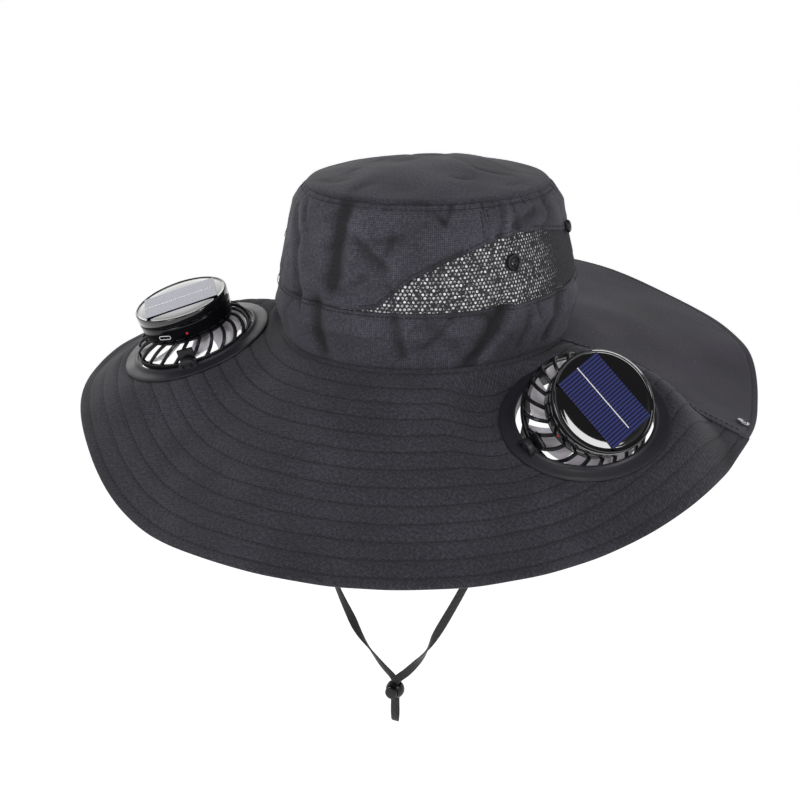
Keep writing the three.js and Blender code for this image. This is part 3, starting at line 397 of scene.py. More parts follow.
def strap_route():
    """Down the left leg, round the tail and up the right leg: x, y, z and the ribbon's turn."""
    left = [(-x, y, z, -turn) for x, y, z, turn in STRAP_LEG]
    right = []
    for x, y, z, turn in reversed(STRAP_LEG):
        near_lock = float(ease(-z, 200.0, 235.0))
        behind = y + (2 * LOCK_CENTRE[1] - 2 * y) * near_lock
        right.append((x, behind, z, turn - 2 * STRAP_TIP[3]))
    tip = STRAP_TIP[:3] + (-STRAP_TIP[3],)
    return np.array(left + [tip] + right, dtype=float)


def through_points(route, step):
    """A smooth line through the points, with a point about every step."""
    out = []
    for i in range(len(route) - 1):
        p0 = route[max(i - 1, 0)]
        p1, p2 = route[i], route[i + 1]
        p3 = route[min(i + 2, len(route) - 1)]
        pieces = max(2, int(np.linalg.norm((p2 - p1)[:3]) / step))
        for k in range(pieces):
            t = k / pieces
            bend = 2 * p0 - 5 * p1 + 4 * p2 - p3
            curve = 3 * (p1 - p2) + p3 - p0
            out.append(p1 + 0.5 * t * (p2 - p0 + t * (bend + t * curve)))
    out.append(route[-1])
    return np.array(out)


def ribbon(name, line, width, thickness):
    """A flat ribbon with soft edges swept along a line that also holds its turn."""
    half_section = [(-0.5, 0.0), (-0.47, -0.32), (-0.36, -0.5), (0.36, -0.5), (0.47, -0.32), (0.5, 0.0)]
    section = half_section + [(-a, -b) for a, b in half_section[1:-1]]
    sides = len(section)
    points = []
    uvs = []
    run = 0.0
    for k, (x, y, z, turn) in enumerate(line):
        ahead = line[min(k + 1, len(line) - 1)][:3] - line[max(k - 1, 0)][:3]
        ahead = Vector(ahead).normalized()
        across = Vector((math.sin(math.radians(turn)), math.cos(math.radians(turn)), 0.0))
        across = (across - ahead * across.dot(ahead)).normalized()
        through = ahead.cross(across)
        centre = Vector((x, y, z))
        if k:
            run += float(np.linalg.norm(line[k][:3] - line[k - 1][:3]))
        for a, b in section:
            points.append((centre + across * a * width + through * b * thickness) * MM)
            uvs.append((a * width * MM, run * MM))
    faces = []
    for k in range(len(line) - 1):
        for m in range(sides):
            n = (m + 1) % sides
            faces.append((sides * k + m, sides * k + n, sides * (k + 1) + n, sides * (k + 1) + m))
    faces.append(tuple(reversed(range(sides))))
    faces.append(tuple(sides * (len(line) - 1) + m for m in range(sides)))
    piece = points_piece(name, points, (), faces)
    layer = piece.data.uv_layers.new(name="UVMap")
    for loop in piece.data.loops:
        layer.data[loop.index].uv = uvs[loop.vertex_index]
    return smooth(edit_all(piece, FACE_OUTWARDS), 60)


def braided_ribbon(name, colour, dark):
    material, shader = new_material(name, colour, 0.7, Sheen_Weight=0.2)
    place = add(material, "UVMap")
    braid = add(
        material, "TexWave", {"bands_direction": "DIAGONAL"}, {"Vector": place.outputs[0]},
        {"Scale": 140.0, "Distortion": 0.3},
    )
    dye = colour_ramp(material, braid.outputs["Fac"], (0.0, dark), (1.0, colour))
    feed(material, shader, "Base Color", dye)
    relief(material, shader, braid.outputs["Fac"], 0.5, 0.2)
    return material


RIBBON = braided_ribbon("braided_polyester_ribbon", 0x131317, 0x08080A)
strap_line = through_points(strap_route(), STRAP_STEP)
strap = ribbon("chin_strap_ribbon", strap_line, STRAP_WIDTH, STRAP_THICKNESS)
settle(strap, "hat", "strap_ribbon", RIBBON, "chin_strap")

# %% [markdown]
# The lock is a moulded ball with a slot for the ribbon and a round button in a bore, as on any
# sprung cord lock. A sphere primitive is cut by boolean modifiers and shaded smooth, and the button's edges
# are bevelled.

# %% Cord lock
LOCK_RADIUS = 6.25
LOCK_BORE = 4.5
LOCK_SLOT = (8.4, 4.2)
BUTTON_RADIUS = 4.1
BUTTON_LENGTH = 3.4
BUTTON_TRAVEL = 1.5


def cut_away(piece, cutter):
    cut = piece.modifiers.new("cut", "BOOLEAN")
    cut.operation = "DIFFERENCE"
    cut.solver = "EXACT"
    cut.object = cutter
    apply_modifiers(piece)
    bpy.data.objects.remove(cutter, do_unlink=True)
    return piece


def add_cylinder(radius, depth, location, rotation=(0, 0, 0), sides=48):
    bpy.ops.object.select_all(action="DESELECT")
    bpy.ops.mesh.primitive_cylinder_add(
        vertices=sides, radius=radius * MM, depth=depth * MM,
        location=Vector(location) * MM, rotation=rotation,
    )
    return place_mesh(bpy.context.object)


def add_block(size, location):
    bpy.ops.object.select_all(action="DESELECT")
    bpy.ops.mesh.primitive_cube_add(size=1.0, location=Vector(location) * MM)
    bpy.context.object.scale = Vector(size) * MM
    return place_mesh(bpy.context.object)


def soften(piece, width, segments=2, flat=False):
    bevel = piece.modifiers.new("soft_edges", "BEVEL")
    bevel.width = width * MM
    bevel.segments = segments
    bevel.limit_method = "ANGLE"
    bevel.angle_limit = math.radians(30)
    apply_modifiers(piece)
    return piece if flat else smooth(piece)


bpy.ops.object.select_all(action="DESELECT")
bpy.ops.mesh.primitive_uv_sphere_add(
    segments=40, ring_count=24, radius=LOCK_RADIUS * MM, location=Vector(LOCK_CENTRE) * MM
)
lock = place_mesh(bpy.context.object)
lock.name = lock.data.name = "cord_lock_ball"
lock_x, lock_y, lock_z = LOCK_CENTRE
bore = add_cylinder(LOCK_BORE, 2 * LOCK_RADIUS, (lock_x, lock_y - LOCK_RADIUS, lock_z), (math.pi / 2, 0, 0))
cut_away(lock, bore)
cut_away(lock, add_block((*LOCK_SLOT, 4 * LOCK_RADIUS), LOCK_CENTRE))
smooth(lock, 30)
settle(lock, "hat", "satin_plastic", DARK_ABS, "cord_lock")

button_face = lock_y - LOCK_RADIUS - BUTTON_TRAVEL / 2
button = add_cylinder(
    BUTTON_RADIUS, BUTTON_LENGTH, (lock_x, button_face + BUTTON_LENGTH / 2, lock_z), (math.pi / 2, 0, 0)
)
button.name = button.data.name = "lock_button_cap"
soften(button, 0.6, 3)
settle(button, "lock_button", "satin_plastic", DARK_ABS, "lock_button")

# %% [markdown]
# All cloth follows the same few shapes as the solids: the oval of the head opening, the brim's
# edge, and the side view of the crown. They are written here as functions of the angle round the
# hat, measured from the front, so that sheets, seams and stitches all lie on the same surface.

# %% Shape of the brim
OPENING_HALF_WIDTH = 86.0
OPENING_HALF_DEPTH = 97.0
BRIM_WIDTH = 145.0
BRIM_WALL = 1.8
BRIM_SWELL = 0.1
BRIM_SEAM_ANGLE = 95.5
FLANGE_RADIUS = 48.0
FLAT_MARGIN = 2.0
BLEND_MARGIN = 34.0
SEAM_GAP = 0.3
# How far out and how far down the edge lies, every 22.5 degrees from the back round, as shares.
BRIM_EDGE_OUT = (1.0, 0.986, 0.952, 0.949, 0.972, 0.942, 0.865, 0.845,
                 0.862, 0.889, 0.883, 0.873, 0.821, 0.839, 0.945, 0.986)
BRIM_EDGE_DROP = (0.1, 0.145, 0.262, 0.303, 0.283, 0.317, 0.392, 0.506,
                  0.503, 0.496, 0.468, 0.379, 0.331, 0.352, 0.255, 0.186)
# Fan units: angle, reach, height, lean outwards, lean to the front, tilt and turn of the head.
FAN_SEATS = {
    "left": (-63.5, 147.0, -14.5, 17.5, 9.0, -2.0, 0.0),
    "right": (64.3, 143.6, -22.3, 17.5, 17.5, 33.0, 180.0),
}


def opening_radius(angle):
    turn = np.radians(angle)
    return 1.0 / np.hypot(np.sin(turn) / OPENING_HALF_WIDTH, np.cos(turn) / OPENING_HALF_DEPTH)


def round_the_edge(values, angle):
    """A smooth closed curve through values set at equal steps, starting at the back."""
    values = np.array(values)
    count = len(values)
    place = np.mod(np.asarray(angle, float) + 180.0, 360.0) / (360.0 / count)
    row = np.floor(place).astype(int)
    t = place - row
    p0, p1, p2, p3 = (values[(row + k) % count] for k in (-1, 0, 1, 2))
    bend = 2 * p0 - 5 * p1 + 4 * p2 - p3
    return p1 + 0.5 * t * (p2 - p0 + t * (bend + t * (p3 - 3 * p2 + 3 * p1 - p0)))


def ring_points(angle, radius, z):
    turn = np.radians(angle)
    return np.stack([np.sin(turn) * radius, -np.cos(turn) * radius, z + 0 * turn], axis=-1)


def seat_matrix(side):
    """Frame of a flange, in mm: x outwards, y round the hat, z away from the cloth."""
    angle, reach, height, lean_out, lean_front = FAN_SEATS[side][:5]
    turn = math.radians(angle)
    out = Vector((math.sin(turn), -math.cos(turn), 0))
    round_hat = Vector((math.cos(turn), math.sin(turn), 0))
    front_sign = -1 if angle > 0 else 1
    normal = Vector((0, 0, 1)) + out * math.tan(math.radians(lean_out))
    normal = (normal + round_hat * front_sign * math.tan(math.radians(lean_front))).normalized()
    y_axis = (round_hat - normal * round_hat.dot(normal)).normalized()
    x_axis = y_axis.cross(normal)
    centre = out * reach + Vector((0, 0, height))
    return Matrix.Translation(centre) @ Matrix((x_axis, y_axis, normal)).transposed().to_4x4()


SEATS = {side: seat_matrix(side) for side in FAN_SEATS}


def brim_surface(angle, share):
    """Points on the upper face of the brim, in mm, pulled flat under each flange."""
    angle, share = np.broadcast_arrays(np.asarray(angle, float), np.asarray(share, float))
    reach = opening_radius(angle) + BRIM_WIDTH * round_the_edge(BRIM_EDGE_OUT, angle) * share
    fall = share - BRIM_SWELL * np.sin(math.tau * share) / math.tau
    points = ring_points(angle, reach, -BRIM_WIDTH * round_the_edge(BRIM_EDGE_DROP, angle) * fall)
    hold = ease(share, 0.014, 0.08)
    for seat in SEATS.values():
        turn = np.array(seat.to_3x3())
        centre = np.array(seat.translation)
        local = (points - centre) @ turn
        away = np.hypot(local[..., 0], local[..., 1])
        flat = FLANGE_RADIUS + FLAT_MARGIN
        weight = hold * (1 - ease(away, flat, flat + BLEND_MARGIN))
        local[..., 2] += (-SEAM_GAP - local[..., 2]) * weight
        points = local @ turn.T + centre
    return points


def brim_normal(angle, share):
    """Unit normals of the brim's upper face, from the slopes round it and across it."""
    along = brim_surface(angle + 0.4, share) - brim_surface(angle - 0.4, share)
    across = brim_surface(angle, share + 0.01) - brim_surface(angle, share - 0.01)
    normal = np.cross(across, along)
    return normal / np.linalg.norm(normal, axis=-1, keepdims=True)

# %% [markdown]
# The front of the brim is two layers of cloth over thin foam, sewn together in thirteen rows. Each
# row pulls the cloth down into a fine furrow, and the foam swells a little between rows. A grid
# primitive is laid over the shape, its vertices pressed down along the rows, the holes under the
# fans are cut out, and a Solidify modifier gives the brim its wall.

# %% Brim, front panel
STITCH_ROWS = 13
ROW_SPACING = 11.3
HEM_FROM_EDGE = 6.0
FURROW_DEPTH = 0.55
FURROW_WIDTH = 1.5
EDGE_ROUND = 0.9
FURROW_SHADE = 0.8
INNER_TUCK = -0.018
FAN_HOLE = 41.4
FRONT_RIPPLE = (0.5, 26.0)
row_shares = [1 - (HEM_FROM_EDGE + ROW_SPACING * k) / BRIM_WIDTH for k in range(STITCH_ROWS)]


def cloth_ripple(points, amount, size):
    """Small uneven swells of cloth, in mm, from noise in space."""
    return np.array([amount * noise.noise(Vector(p) / size) for p in points.reshape(-1, 3)])


def brim_front_place(u, v):
    angle = BRIM_SEAM_ANGLE * (2 * u - 1)
    share = INNER_TUCK + (1 - INNER_TUCK) * v
    points = brim_surface(angle, share)
    from_row = np.min([np.abs(share - s) for s in row_shares], axis=0) * BRIM_WIDTH
    points[:, 2] -= FURROW_DEPTH * np.exp(-((from_row / FURROW_WIDTH) ** 2))
    from_edge = np.clip((1 - share) * BRIM_WIDTH / EDGE_ROUND, 0, 1)
    points[:, 2] -= EDGE_ROUND * (1 - np.sqrt(1 - (1 - from_edge) ** 2))
    points[:, 2] += cloth_ripple(points, *FRONT_RIPPLE) * ease(share, 0.0, 0.1)
    swells = cloth_ripple(points, 1.0, 40.0)
    # Painted shade darkens each stitched furrow; a slow noise makes the tone uneven.
    return points, 0.35 * np.exp(-((from_row / FURROW_SHADE) ** 2)) - 0.25 * swells


def flat_cloth(u, v, solid):
    return solid[:, :2].copy()


def open_holes(piece):
    """Take the cloth out under each fan and pull the cut edge onto a true circle."""
    mesh = bmesh.new()
    mesh.from_mesh(piece.data)
    for seat in SEATS.values():
        inverse = seat.inverted()
        away = {}
        for vert in mesh.verts:
            local = inverse @ (vert.co / MM)
            away[vert] = math.hypot(local.x, local.y) if abs(local.z) < 25 else 1e3
        gone = [f for f in mesh.faces if sum(away[v] for v in f.verts) / 4 < FAN_HOLE]
        bmesh.ops.delete(mesh, geom=gone, context="FACES")
        for vert in mesh.verts:
            if vert.is_boundary and away.get(vert, 1e3) < FAN_HOLE + 4:
                local = inverse @ (vert.co / MM)
                scale = FAN_HOLE / math.hypot(local.x, local.y)
                vert.co = (seat @ Vector((local.x * scale, local.y * scale, local.z))) * MM
    mesh.to_mesh(piece.data)
    mesh.free()


def thicken(piece, wall):
    shell = piece.modifiers.new("wall", "SOLIDIFY")
    shell.thickness = wall * MM
    shell.offset = -1.0
    shell.use_even_offset = True
    return apply_modifiers(piece)


def facing_up(piece):
    """Turn the sheet over if its faces look down, so that the wall grows inwards."""
    total = sum(p.normal.z * p.area for p in piece.data.polygons)
    if total < 0:
        piece.data.flip_normals()
    return piece


brim_front = grid_sheet("brim_front_cloth", 340, 118, brim_front_place, flat_cloth)
facing_up(brim_front)
open_holes(brim_front)
thicken(brim_front, BRIM_WALL)
smooth(brim_front, 60)
settle(brim_front, "hat", "brim_cloth", BRIM_CLOTH, "brim_front")
print("brim front", len(brim_front.data.polygons), "faces")

# %% [markdown]
# The back panel is plain, with one hem close to its edge. Its sides lap over the front panel, so
# its own edges stand a little higher there, and a turned-in fold with topstitching runs along them.

# %% Brim, back panel
BACK_LAP = 1.6
LAP_LIFT = 0.9
BACK_HEM = 4.2
BACK_RIPPLE = (1.1, 42.0)
back_from = BRIM_SEAM_ANGLE - BACK_LAP
back_to = 360 - BRIM_SEAM_ANGLE + BACK_LAP


def brim_back_place(u, v):
    angle = back_from + (back_to - back_from) * u
    share = INNER_TUCK + (1 - INNER_TUCK) * v
    points = brim_surface(angle, share)
    side = np.minimum(u, 1 - u) * (back_to - back_from)
    lift = LAP_LIFT * (1 - ease(side, 0.6 * BACK_LAP, 3.2 * BACK_LAP)) * ease(share, 0.0, 0.08)
    points[:, 2] += lift
    hem = np.abs((1 - share) * BRIM_WIDTH - BACK_HEM)
    points[:, 2] -= 0.5 * np.exp(-((hem / 1.2) ** 2))
    points[:, 2] += cloth_ripple(points, *BACK_RIPPLE) * ease(share, 0.0, 0.25)
    # Painted shade darkens the hem's furrow; a slow noise makes the tone uneven.
    return points, 0.5 * np.exp(-((hem / 1.0) ** 2)) - 0.15 * cloth_ripple(points, 1.0, 30.0)


brim_back = grid_sheet("brim_back_cloth", 260, 80, brim_back_place, flat_cloth)
facing_up(brim_back)
thicken(brim_back, BRIM_WALL)
smooth(brim_back, 60)
settle(brim_back, "hat", "back_cloth", BACK_CLOTH, "brim_back")

# %% [markdown]
# A lockstitch shows as a short raised thread, then a gap where it dives into the cloth. One stitch
# is modelled as a tapered bar. It is then copied along each row, turned to lie along the row and
# on the cloth, above and below the brim.

# %% Stitches
STITCH_PITCH = 3.4
STITCH_LENGTH = 2.3
STITCH_WIDTH = 0.6
STITCH_HEIGHT = 0.5
STITCH_MARGIN = 1.0


def one_stitch():
    """Points and faces of one stitch, lying along X, in mm."""
    bar = add_block((STITCH_LENGTH, STITCH_WIDTH, STITCH_HEIGHT), (0, 0, 0))
    edit_all(bar, (bpy.ops.mesh.bevel, {"offset": 0.16 * MM, "segments": 1, "affect": "EDGES"}))
    points = np.array([v.co / MM for v in bar.data.vertices])
    faces = [tuple(p.vertices) for p in bar.data.polygons]
    bpy.data.objects.remove(bar, do_unlink=True)
    return points, faces


STITCH_POINTS, STITCH_FACES = one_stitch()


def stitches_along(line, normals, pitch=STITCH_PITCH, scale=1.0):
    """Stitches evenly spaced along a line of points, each laid on the cloth."""
    steps = np.linalg.norm(np.diff(line, axis=0), axis=1)
    run = np.concatenate([[0.0], np.cumsum(steps)])
    places = np.arange(pitch / 2, run[-1], pitch)
    made = []
    for place in places:
        i = min(int(np.searchsorted(run, place)), len(line) - 1)
        share = (place - run[i - 1]) / max(run[i] - run[i - 1], 1e-9)
        centre = line[i - 1] + share * (line[i] - line[i - 1])
        along = line[i] - line[i - 1]
        along = along / np.linalg.norm(along)
        up = normals[i] - along * normals[i].dot(along)
        up = up / np.linalg.norm(up)
        made.append(centre + scale * STITCH_POINTS @ np.array([along, np.cross(up, along), up]))
    return made


def sewn(name, rows, slot="brim_cloth"):
    """All the stitches of some rows as one mesh."""
    groups = [points for row in rows for points in row]
    count = len(STITCH_POINTS)
    points = np.concatenate(groups) * MM
    faces = [tuple(i + count * k for i in f) for k in range(len(groups)) for f in STITCH_FACES]
    piece = points_piece(name, points, (), faces)
    smooth(piece, 60)
    settle(piece, "hat", slot, SEWING_THREAD)
    print(name, len(groups), "stitches")


def outside_flanges(line):
    """Split a line where it runs under a flange, and drop what is under it."""
    keep = np.ones(len(line), dtype=bool)
    for seat in SEATS.values():
        local = (line - np.array(seat.translation)) @ np.array(seat.to_3x3())
        keep &= np.hypot(local[:, 0], local[:, 1]) > FLANGE_RADIUS + STITCH_MARGIN
    runs = []
    start = None
    for i, kept in enumerate(keep):
        if kept and start is None:
            start = i
        if start is not None and (not kept or i == len(keep) - 1):
            if i - start > 3:
                runs.append(slice(start, i))
            start = None
    return runs


top_rows = []
under_rows = []
row_angles = np.linspace(-BRIM_SEAM_ANGLE + 2.2, BRIM_SEAM_ANGLE - 2.2, 420)
for row_share in row_shares:
    line = brim_surface(row_angles, np.full_like(row_angles, row_share))
    normals = brim_normal(row_angles, np.full_like(row_angles, row_share))
    line[:, 2] += cloth_ripple(line, *FRONT_RIPPLE)
    sunk = line - normals * (FURROW_DEPTH - 0.12)
    below = line - normals * (FURROW_DEPTH + BRIM_WALL + 0.05)
    for run in outside_flanges(line):
        top_rows.append(stitches_along(sunk[run], normals[run]))
        under_rows.append(stitches_along(below[run], normals[run]))
sewn("brim_stitches_top", top_rows)
sewn("brim_stitches_under", under_rows)

hem_angles = np.linspace(back_from + 1, back_to - 1, 420)
hem_share = np.full_like(hem_angles, 1 - BACK_HEM / BRIM_WIDTH)
hem_line = brim_surface(hem_angles, hem_share)
hem_line[:, 2] += cloth_ripple(hem_line, *BACK_RIPPLE) - 0.38
lap_rows = [stitches_along(hem_line, brim_normal(hem_angles, hem_share), scale=0.9)]
for lap_angle in (back_from + 1.9, back_to - 1.9):
    lap_share = np.linspace(0.06, 0.95, 160)
    lap_line = brim_surface(np.full_like(lap_share, lap_angle), lap_share)
    lap_line[:, 2] += cloth_ripple(lap_line, *BACK_RIPPLE) * ease(lap_share, 0.0, 0.25) + LAP_LIFT + 0.05
    lap_normals = brim_normal(np.full_like(lap_share, lap_angle), lap_share)
    lap_rows.append(stitches_along(lap_line, lap_normals, scale=0.9))
sewn("brim_back_stitches", lap_rows, slot="back_cloth")

# %% [markdown]
# The crown is sewn from a domed tip, a wall in two halves, net windows and a puffed band. Cloth of
# this weight creases when it has been folded, so each crease is a line with a width and a depth,
# pressed into the surface, with a small ridge along one side of the sharper ones.

# %% Shape of the crown
BAND_HEIGHT = 34.0
CROWN_HEIGHT = 92.5
TIP_RISE = 10.5
TIP_INSET = 11.5
CROWN_WALL = 1.4
CROWN_BACK_DROP = 5.0
PANEL_SEAM_ANGLE = 49.0
WINDOW_START = 2.5
WINDOW_SPAN = 124.0
WINDOW_HEIGHT = 43.0
BAND_PROFILE = [(0.0, 0.09), (0.2, 0.22), (0.6, 0.56), (1.0, 0.3)]
WALL_PROFILE = [(0.0, 0.3), (0.12, 0.25), (0.28, 0.06), (0.45, -0.12),
                (0.62, -0.28), (0.8, -0.5), (0.92, -0.84), (1.0, -1.22)]
WINDOW_EDGE = [(0.0, 0.0), (0.055, 0.04), (0.145, 0.43), (0.242, 0.63), (0.367, 0.84), (0.504, 0.935),
               (0.637, 0.875), (0.82, 0.72), (0.927, 0.58), (1.0, 0.5)]
# Creases: from angle and height, to angle and height, width, depth, and a ridge's share of the depth.
CREASES = [
    (-6.0, 90.0, -7.5, 47.0, 6.5, 4.1, 0.3),
    (-13.0, 33.0, -11.0, 6.0, 5.2, 3.0, 0.4),
    (54.5, 33.0, 42.0, 3.0, 5.0, 4.6, 0.6),
    (16.0, 30.0, 18.5, 8.0, 3.6, 2.0, 0.7),
    (0.5, 72.5, 11.0, 59.0, 3.6, 2.0, 0.6),
    (5.5, 72.0, 17.5, 75.5, 3.0, 1.3, 0.5),
    (35.5, 91.0, 32.5, 83.0, 2.6, 1.6, 0.6),
    (59.0, 88.0, 55.0, 72.0, 3.2, 1.8, 0.7),
    (62.0, 79.0, 78.0, 84.0, 3.2, 1.8, 0.5),
    (86.0, 29.0, 77.0, 8.0, 5.0, 2.2, 0.4),
    (-30.0, 60.0, -24.0, 36.0, 4.5, 1.6, 0.5),
    (-38.0, 82.0, -30.0, 66.0, 5.5, 1.8, 0.3),
    (28.0, 60.0, 38.0, 66.0, 3.2, 1.0, 0.5),
    (-3.0, 44.0, 4.0, 52.0, 3.0, 1.2, 0.6),
    (28.0, 26.0, 36.0, 14.0, 5.0, 1.3, 0.4),
    (66.0, 26.0, 62.0, 8.0, 4.0, 1.6, 0.5),
    (150.0, 78.0, 156.0, 37.0, 8.0, 3.6, 0.3),
    (196.0, 28.0, 208.0, 5.0, 5.6, 3.2, 0.4),
    (250.0, 4.0, 262.0, 30.0, 5.6, 3.8, 0.4),
    (228.0, 84.0, 236.0, 77.0, 4.0, 1.6, 0.5),
    (120.0, 28.0, 128.0, 6.0, 5.0, 2.4, 0.4),
]


def table_value(table, key):
    return np.interp(key, [row[0] for row in table], [row[1] for row in table])


def crease_depth(angle, z):
    mm_per_degree = math.radians(OPENING_HALF_DEPTH)
    depth = np.zeros_like(angle)
    for from_angle, from_z, to_angle, to_z, width, deep, ridge in CREASES:
        start_x = (np.mod(from_angle - angle + 180.0, 360.0) - 180.0) * mm_per_degree
        start_z = from_z - z
        span_x = (to_angle - from_angle) * mm_per_degree
        span_z = to_z - from_z
        length = math.hypot(span_x, span_z)
        share = np.clip(-(start_x * span_x + start_z * span_z) / length**2, 0, 1)
        off_x, off_z = start_x + share * span_x, start_z + share * span_z
        away = np.hypot(off_x, off_z)
        side = (off_x * span_z - off_z * span_x) / length
        valley = np.exp(-((away / width) ** 2))
        beside = np.exp(-(((side - 1.25 * width) / width) ** 2))
        hill = ridge * beside * np.exp(-((away / (2 * width)) ** 2))
        depth += deep * (valley - hill)
    return depth


def crown_radius(angle, z):
    angle, z = np.broadcast_arrays(np.asarray(angle, float), np.asarray(z, float))
    band = table_value(BAND_PROFILE, z / BAND_HEIGHT)
    wall = table_value(WALL_PROFILE, (z - BAND_HEIGHT) / (CROWN_HEIGHT - BAND_HEIGHT))
    out = np.where(z <= BAND_HEIGHT, band, wall)
    fade = ease(z, 0.0, BAND_HEIGHT / 4) * (1 - ease(z, 0.94 * CROWN_HEIGHT, CROWN_HEIGHT))
    return opening_radius(angle) + out * TIP_INSET - fade * crease_depth(angle, z)


def sunk_back(points):
    """The crown stands lower at the back."""
    above = np.clip((points[..., 2] - BAND_HEIGHT) / (CROWN_HEIGHT - BAND_HEIGHT), 0, 1)
    back = (1 + points[..., 1] / OPENING_HALF_DEPTH) / 2
    points[..., 2] -= CROWN_BACK_DROP * above * back
    return points


def crown_surface(angle, z, inset=0.0):
    angle, z = np.broadcast_arrays(np.asarray(angle, float), np.asarray(z, float))
    return sunk_back(ring_points(angle, crown_radius(angle, z) - inset, z))


def window_height(angle):
    along = np.mod(np.asarray(angle, float) - WINDOW_START, 180.0) / WINDOW_SPAN
    inside = along <= 1.0
    return np.where(inside, WINDOW_HEIGHT * table_value(WINDOW_EDGE, np.clip(along, 0, 1)), 0.0)


def wrinkles(points, size):
    """Narrow valleys that wander over the cloth and die out: 0 on the flat, 1 in a valley."""
    line = cloth_ripple(points + 90.0, 1.0, size)
    here = np.clip(2.5 * cloth_ripple(points - 70.0, 1.0, 0.9 * size) - 0.25, 0, 1)
    return here * np.exp(-((line / 0.13) ** 2))


def crumple(points):
    """Soft handling marks of worn cloth in mm, and painted shade for each point: dark in the folds, light on
    the swells.
    """
    wide = cloth_ripple(points, 1.0, 21.0)
    mid = cloth_ripple(points + 50.0, 0.5, 9.0)
    long_folds = wrinkles(points, 28.0)
    short_folds = wrinkles(points * 1.1, 13.0)
    height = wide + mid - (1.5 * long_folds + 0.7 * short_folds)
    return height, 0.55 * long_folds + 0.3 * short_folds - 0.35 * (wide + mid)


def gathers(angle, z):
    """Small pleats where the wall is eased into the tip's seam, in mm."""
    pleat = np.array([noise.noise(Vector((0.45 * a, 3.1, 0.7))) for a in angle])
    return -1.6 * np.clip(pleat, 0, 1) * np.exp(-(((CROWN_HEIGHT - z) / 7.0) ** 2))


def outwards(points):
    flat = points * np.array([1.0, 1.0, 0.0])
    return flat / np.linalg.norm(flat, axis=-1, keepdims=True)


def wall_cloth(u, v, solid):
    """UV in metres: distance round the crown and height."""
    angle = np.arctan2(solid[:, 0], -solid[:, 1])
    return np.stack([np.unwrap(angle) * OPENING_HALF_DEPTH * MM, solid[:, 2]], axis=-1)

# %% [markdown]
# Each part of the crown is a grid sheet again. The wall's lower edge follows the window, and it is
# rolled a little outwards there, because the cloth is folded under and topstitched to the net.

# %% Crown wall, band and tip
WALL_LIFT = 0.35
BAND_FOOT = -0.9
WALL_THICKNESS = 0.9
CLOTH_THICKNESS = 1.2
CREASE_SHADE = 0.38


def wall_place(start):
    def place(u, v):
        angle = start + 180.0 * u
        low = BAND_HEIGHT + SEAM_GAP + window_height(angle)
        z = low + (CROWN_HEIGHT + 0.4 - low) * v
        points = crown_surface(angle, z)
        lift = np.exp(-(((z - low) / 3.0) ** 2)) * WALL_LIFT
        seam = np.minimum(u, 1 - u) * 180.0 * 1.6
        pinch = -0.7 * np.exp(-((seam / 1.3) ** 2)) - 0.8 * np.exp(-(((1 - v) * 60 / 1.6) ** 2))
        soft, fold_shade = crumple(points)
        pleats = gathers(angle, z)
        height = lift + pinch + soft * ease(1 - v, 0.0, 0.1) + pleats
        # Painted shade in creases, pleats and seam pinches, and along the wall's folded lower edge.
        fold_shade += CREASE_SHADE * crease_depth(angle, z) - 0.3 * pleats - 0.4 * pinch
        fold_shade += 0.5 * np.exp(-(((z - low) / 1.2) ** 2))
        return points + outwards(points) * height[:, None], fold_shade

    return place


def facing_out(piece):
    total = 0.0
    for face in piece.data.polygons:
        total += face.normal.dot(Vector((face.center.x, face.center.y, 0))) * face.area
    if total < 0:
        piece.data.flip_normals()
    return piece


def arc_cloth(start, span):
    def place(u, v, solid):
        return np.stack([np.radians(start + span * u) * OPENING_HALF_DEPTH * MM, solid[:, 2]], axis=-1)

    return place


for side, half in (("right", 0.0), ("left", 180.0)):
    start = half + PANEL_SEAM_ANGLE
    wall = grid_sheet(f"crown_wall_{side}_cloth", 420, 90, wall_place(start), arc_cloth(start, 180.0))
    facing_out(wall)
    thicken(wall, WALL_THICKNESS)
    smooth(wall, 60)
    settle(wall, "hat", "crown_cloth", CROWN_CLOTH, f"crown_wall_{side}")


def band_place(u, v):
    angle = 360.0 * u
    z = BAND_FOOT + (BAND_HEIGHT - BAND_FOOT) * v
    points = crown_surface(angle, z)
    below_top = (1 - v) * BAND_HEIGHT
    roll = 0.5 * np.exp(-((below_top / 2.2) ** 2)) - 1.0 * np.exp(-((below_top / 0.9) ** 2))
    tuck = -1.2 * np.exp(-((v * BAND_HEIGHT / 1.6) ** 2))
    soft, fold_shade = crumple(points)
    # Painted shade in creases, at the tucked foot and along the rolled top edge.
    fold_shade += CREASE_SHADE * crease_depth(angle, z) - 0.5 * tuck + 0.7 * np.exp(-(below_top**2))
    height = roll + tuck + soft * ease(v, 0.0, 0.2)
    return points + outwards(points) * height[:, None], fold_shade


band = grid_sheet("crown_band_cloth", 720, 60, band_place, arc_cloth(0.0, 360.0))
edit_all(band, weld(0.02))
facing_out(band)
thicken(band, CLOTH_THICKNESS)
smooth(band, 60)
settle(band, "hat", "crown_cloth", CROWN_CLOTH, "crown_band")


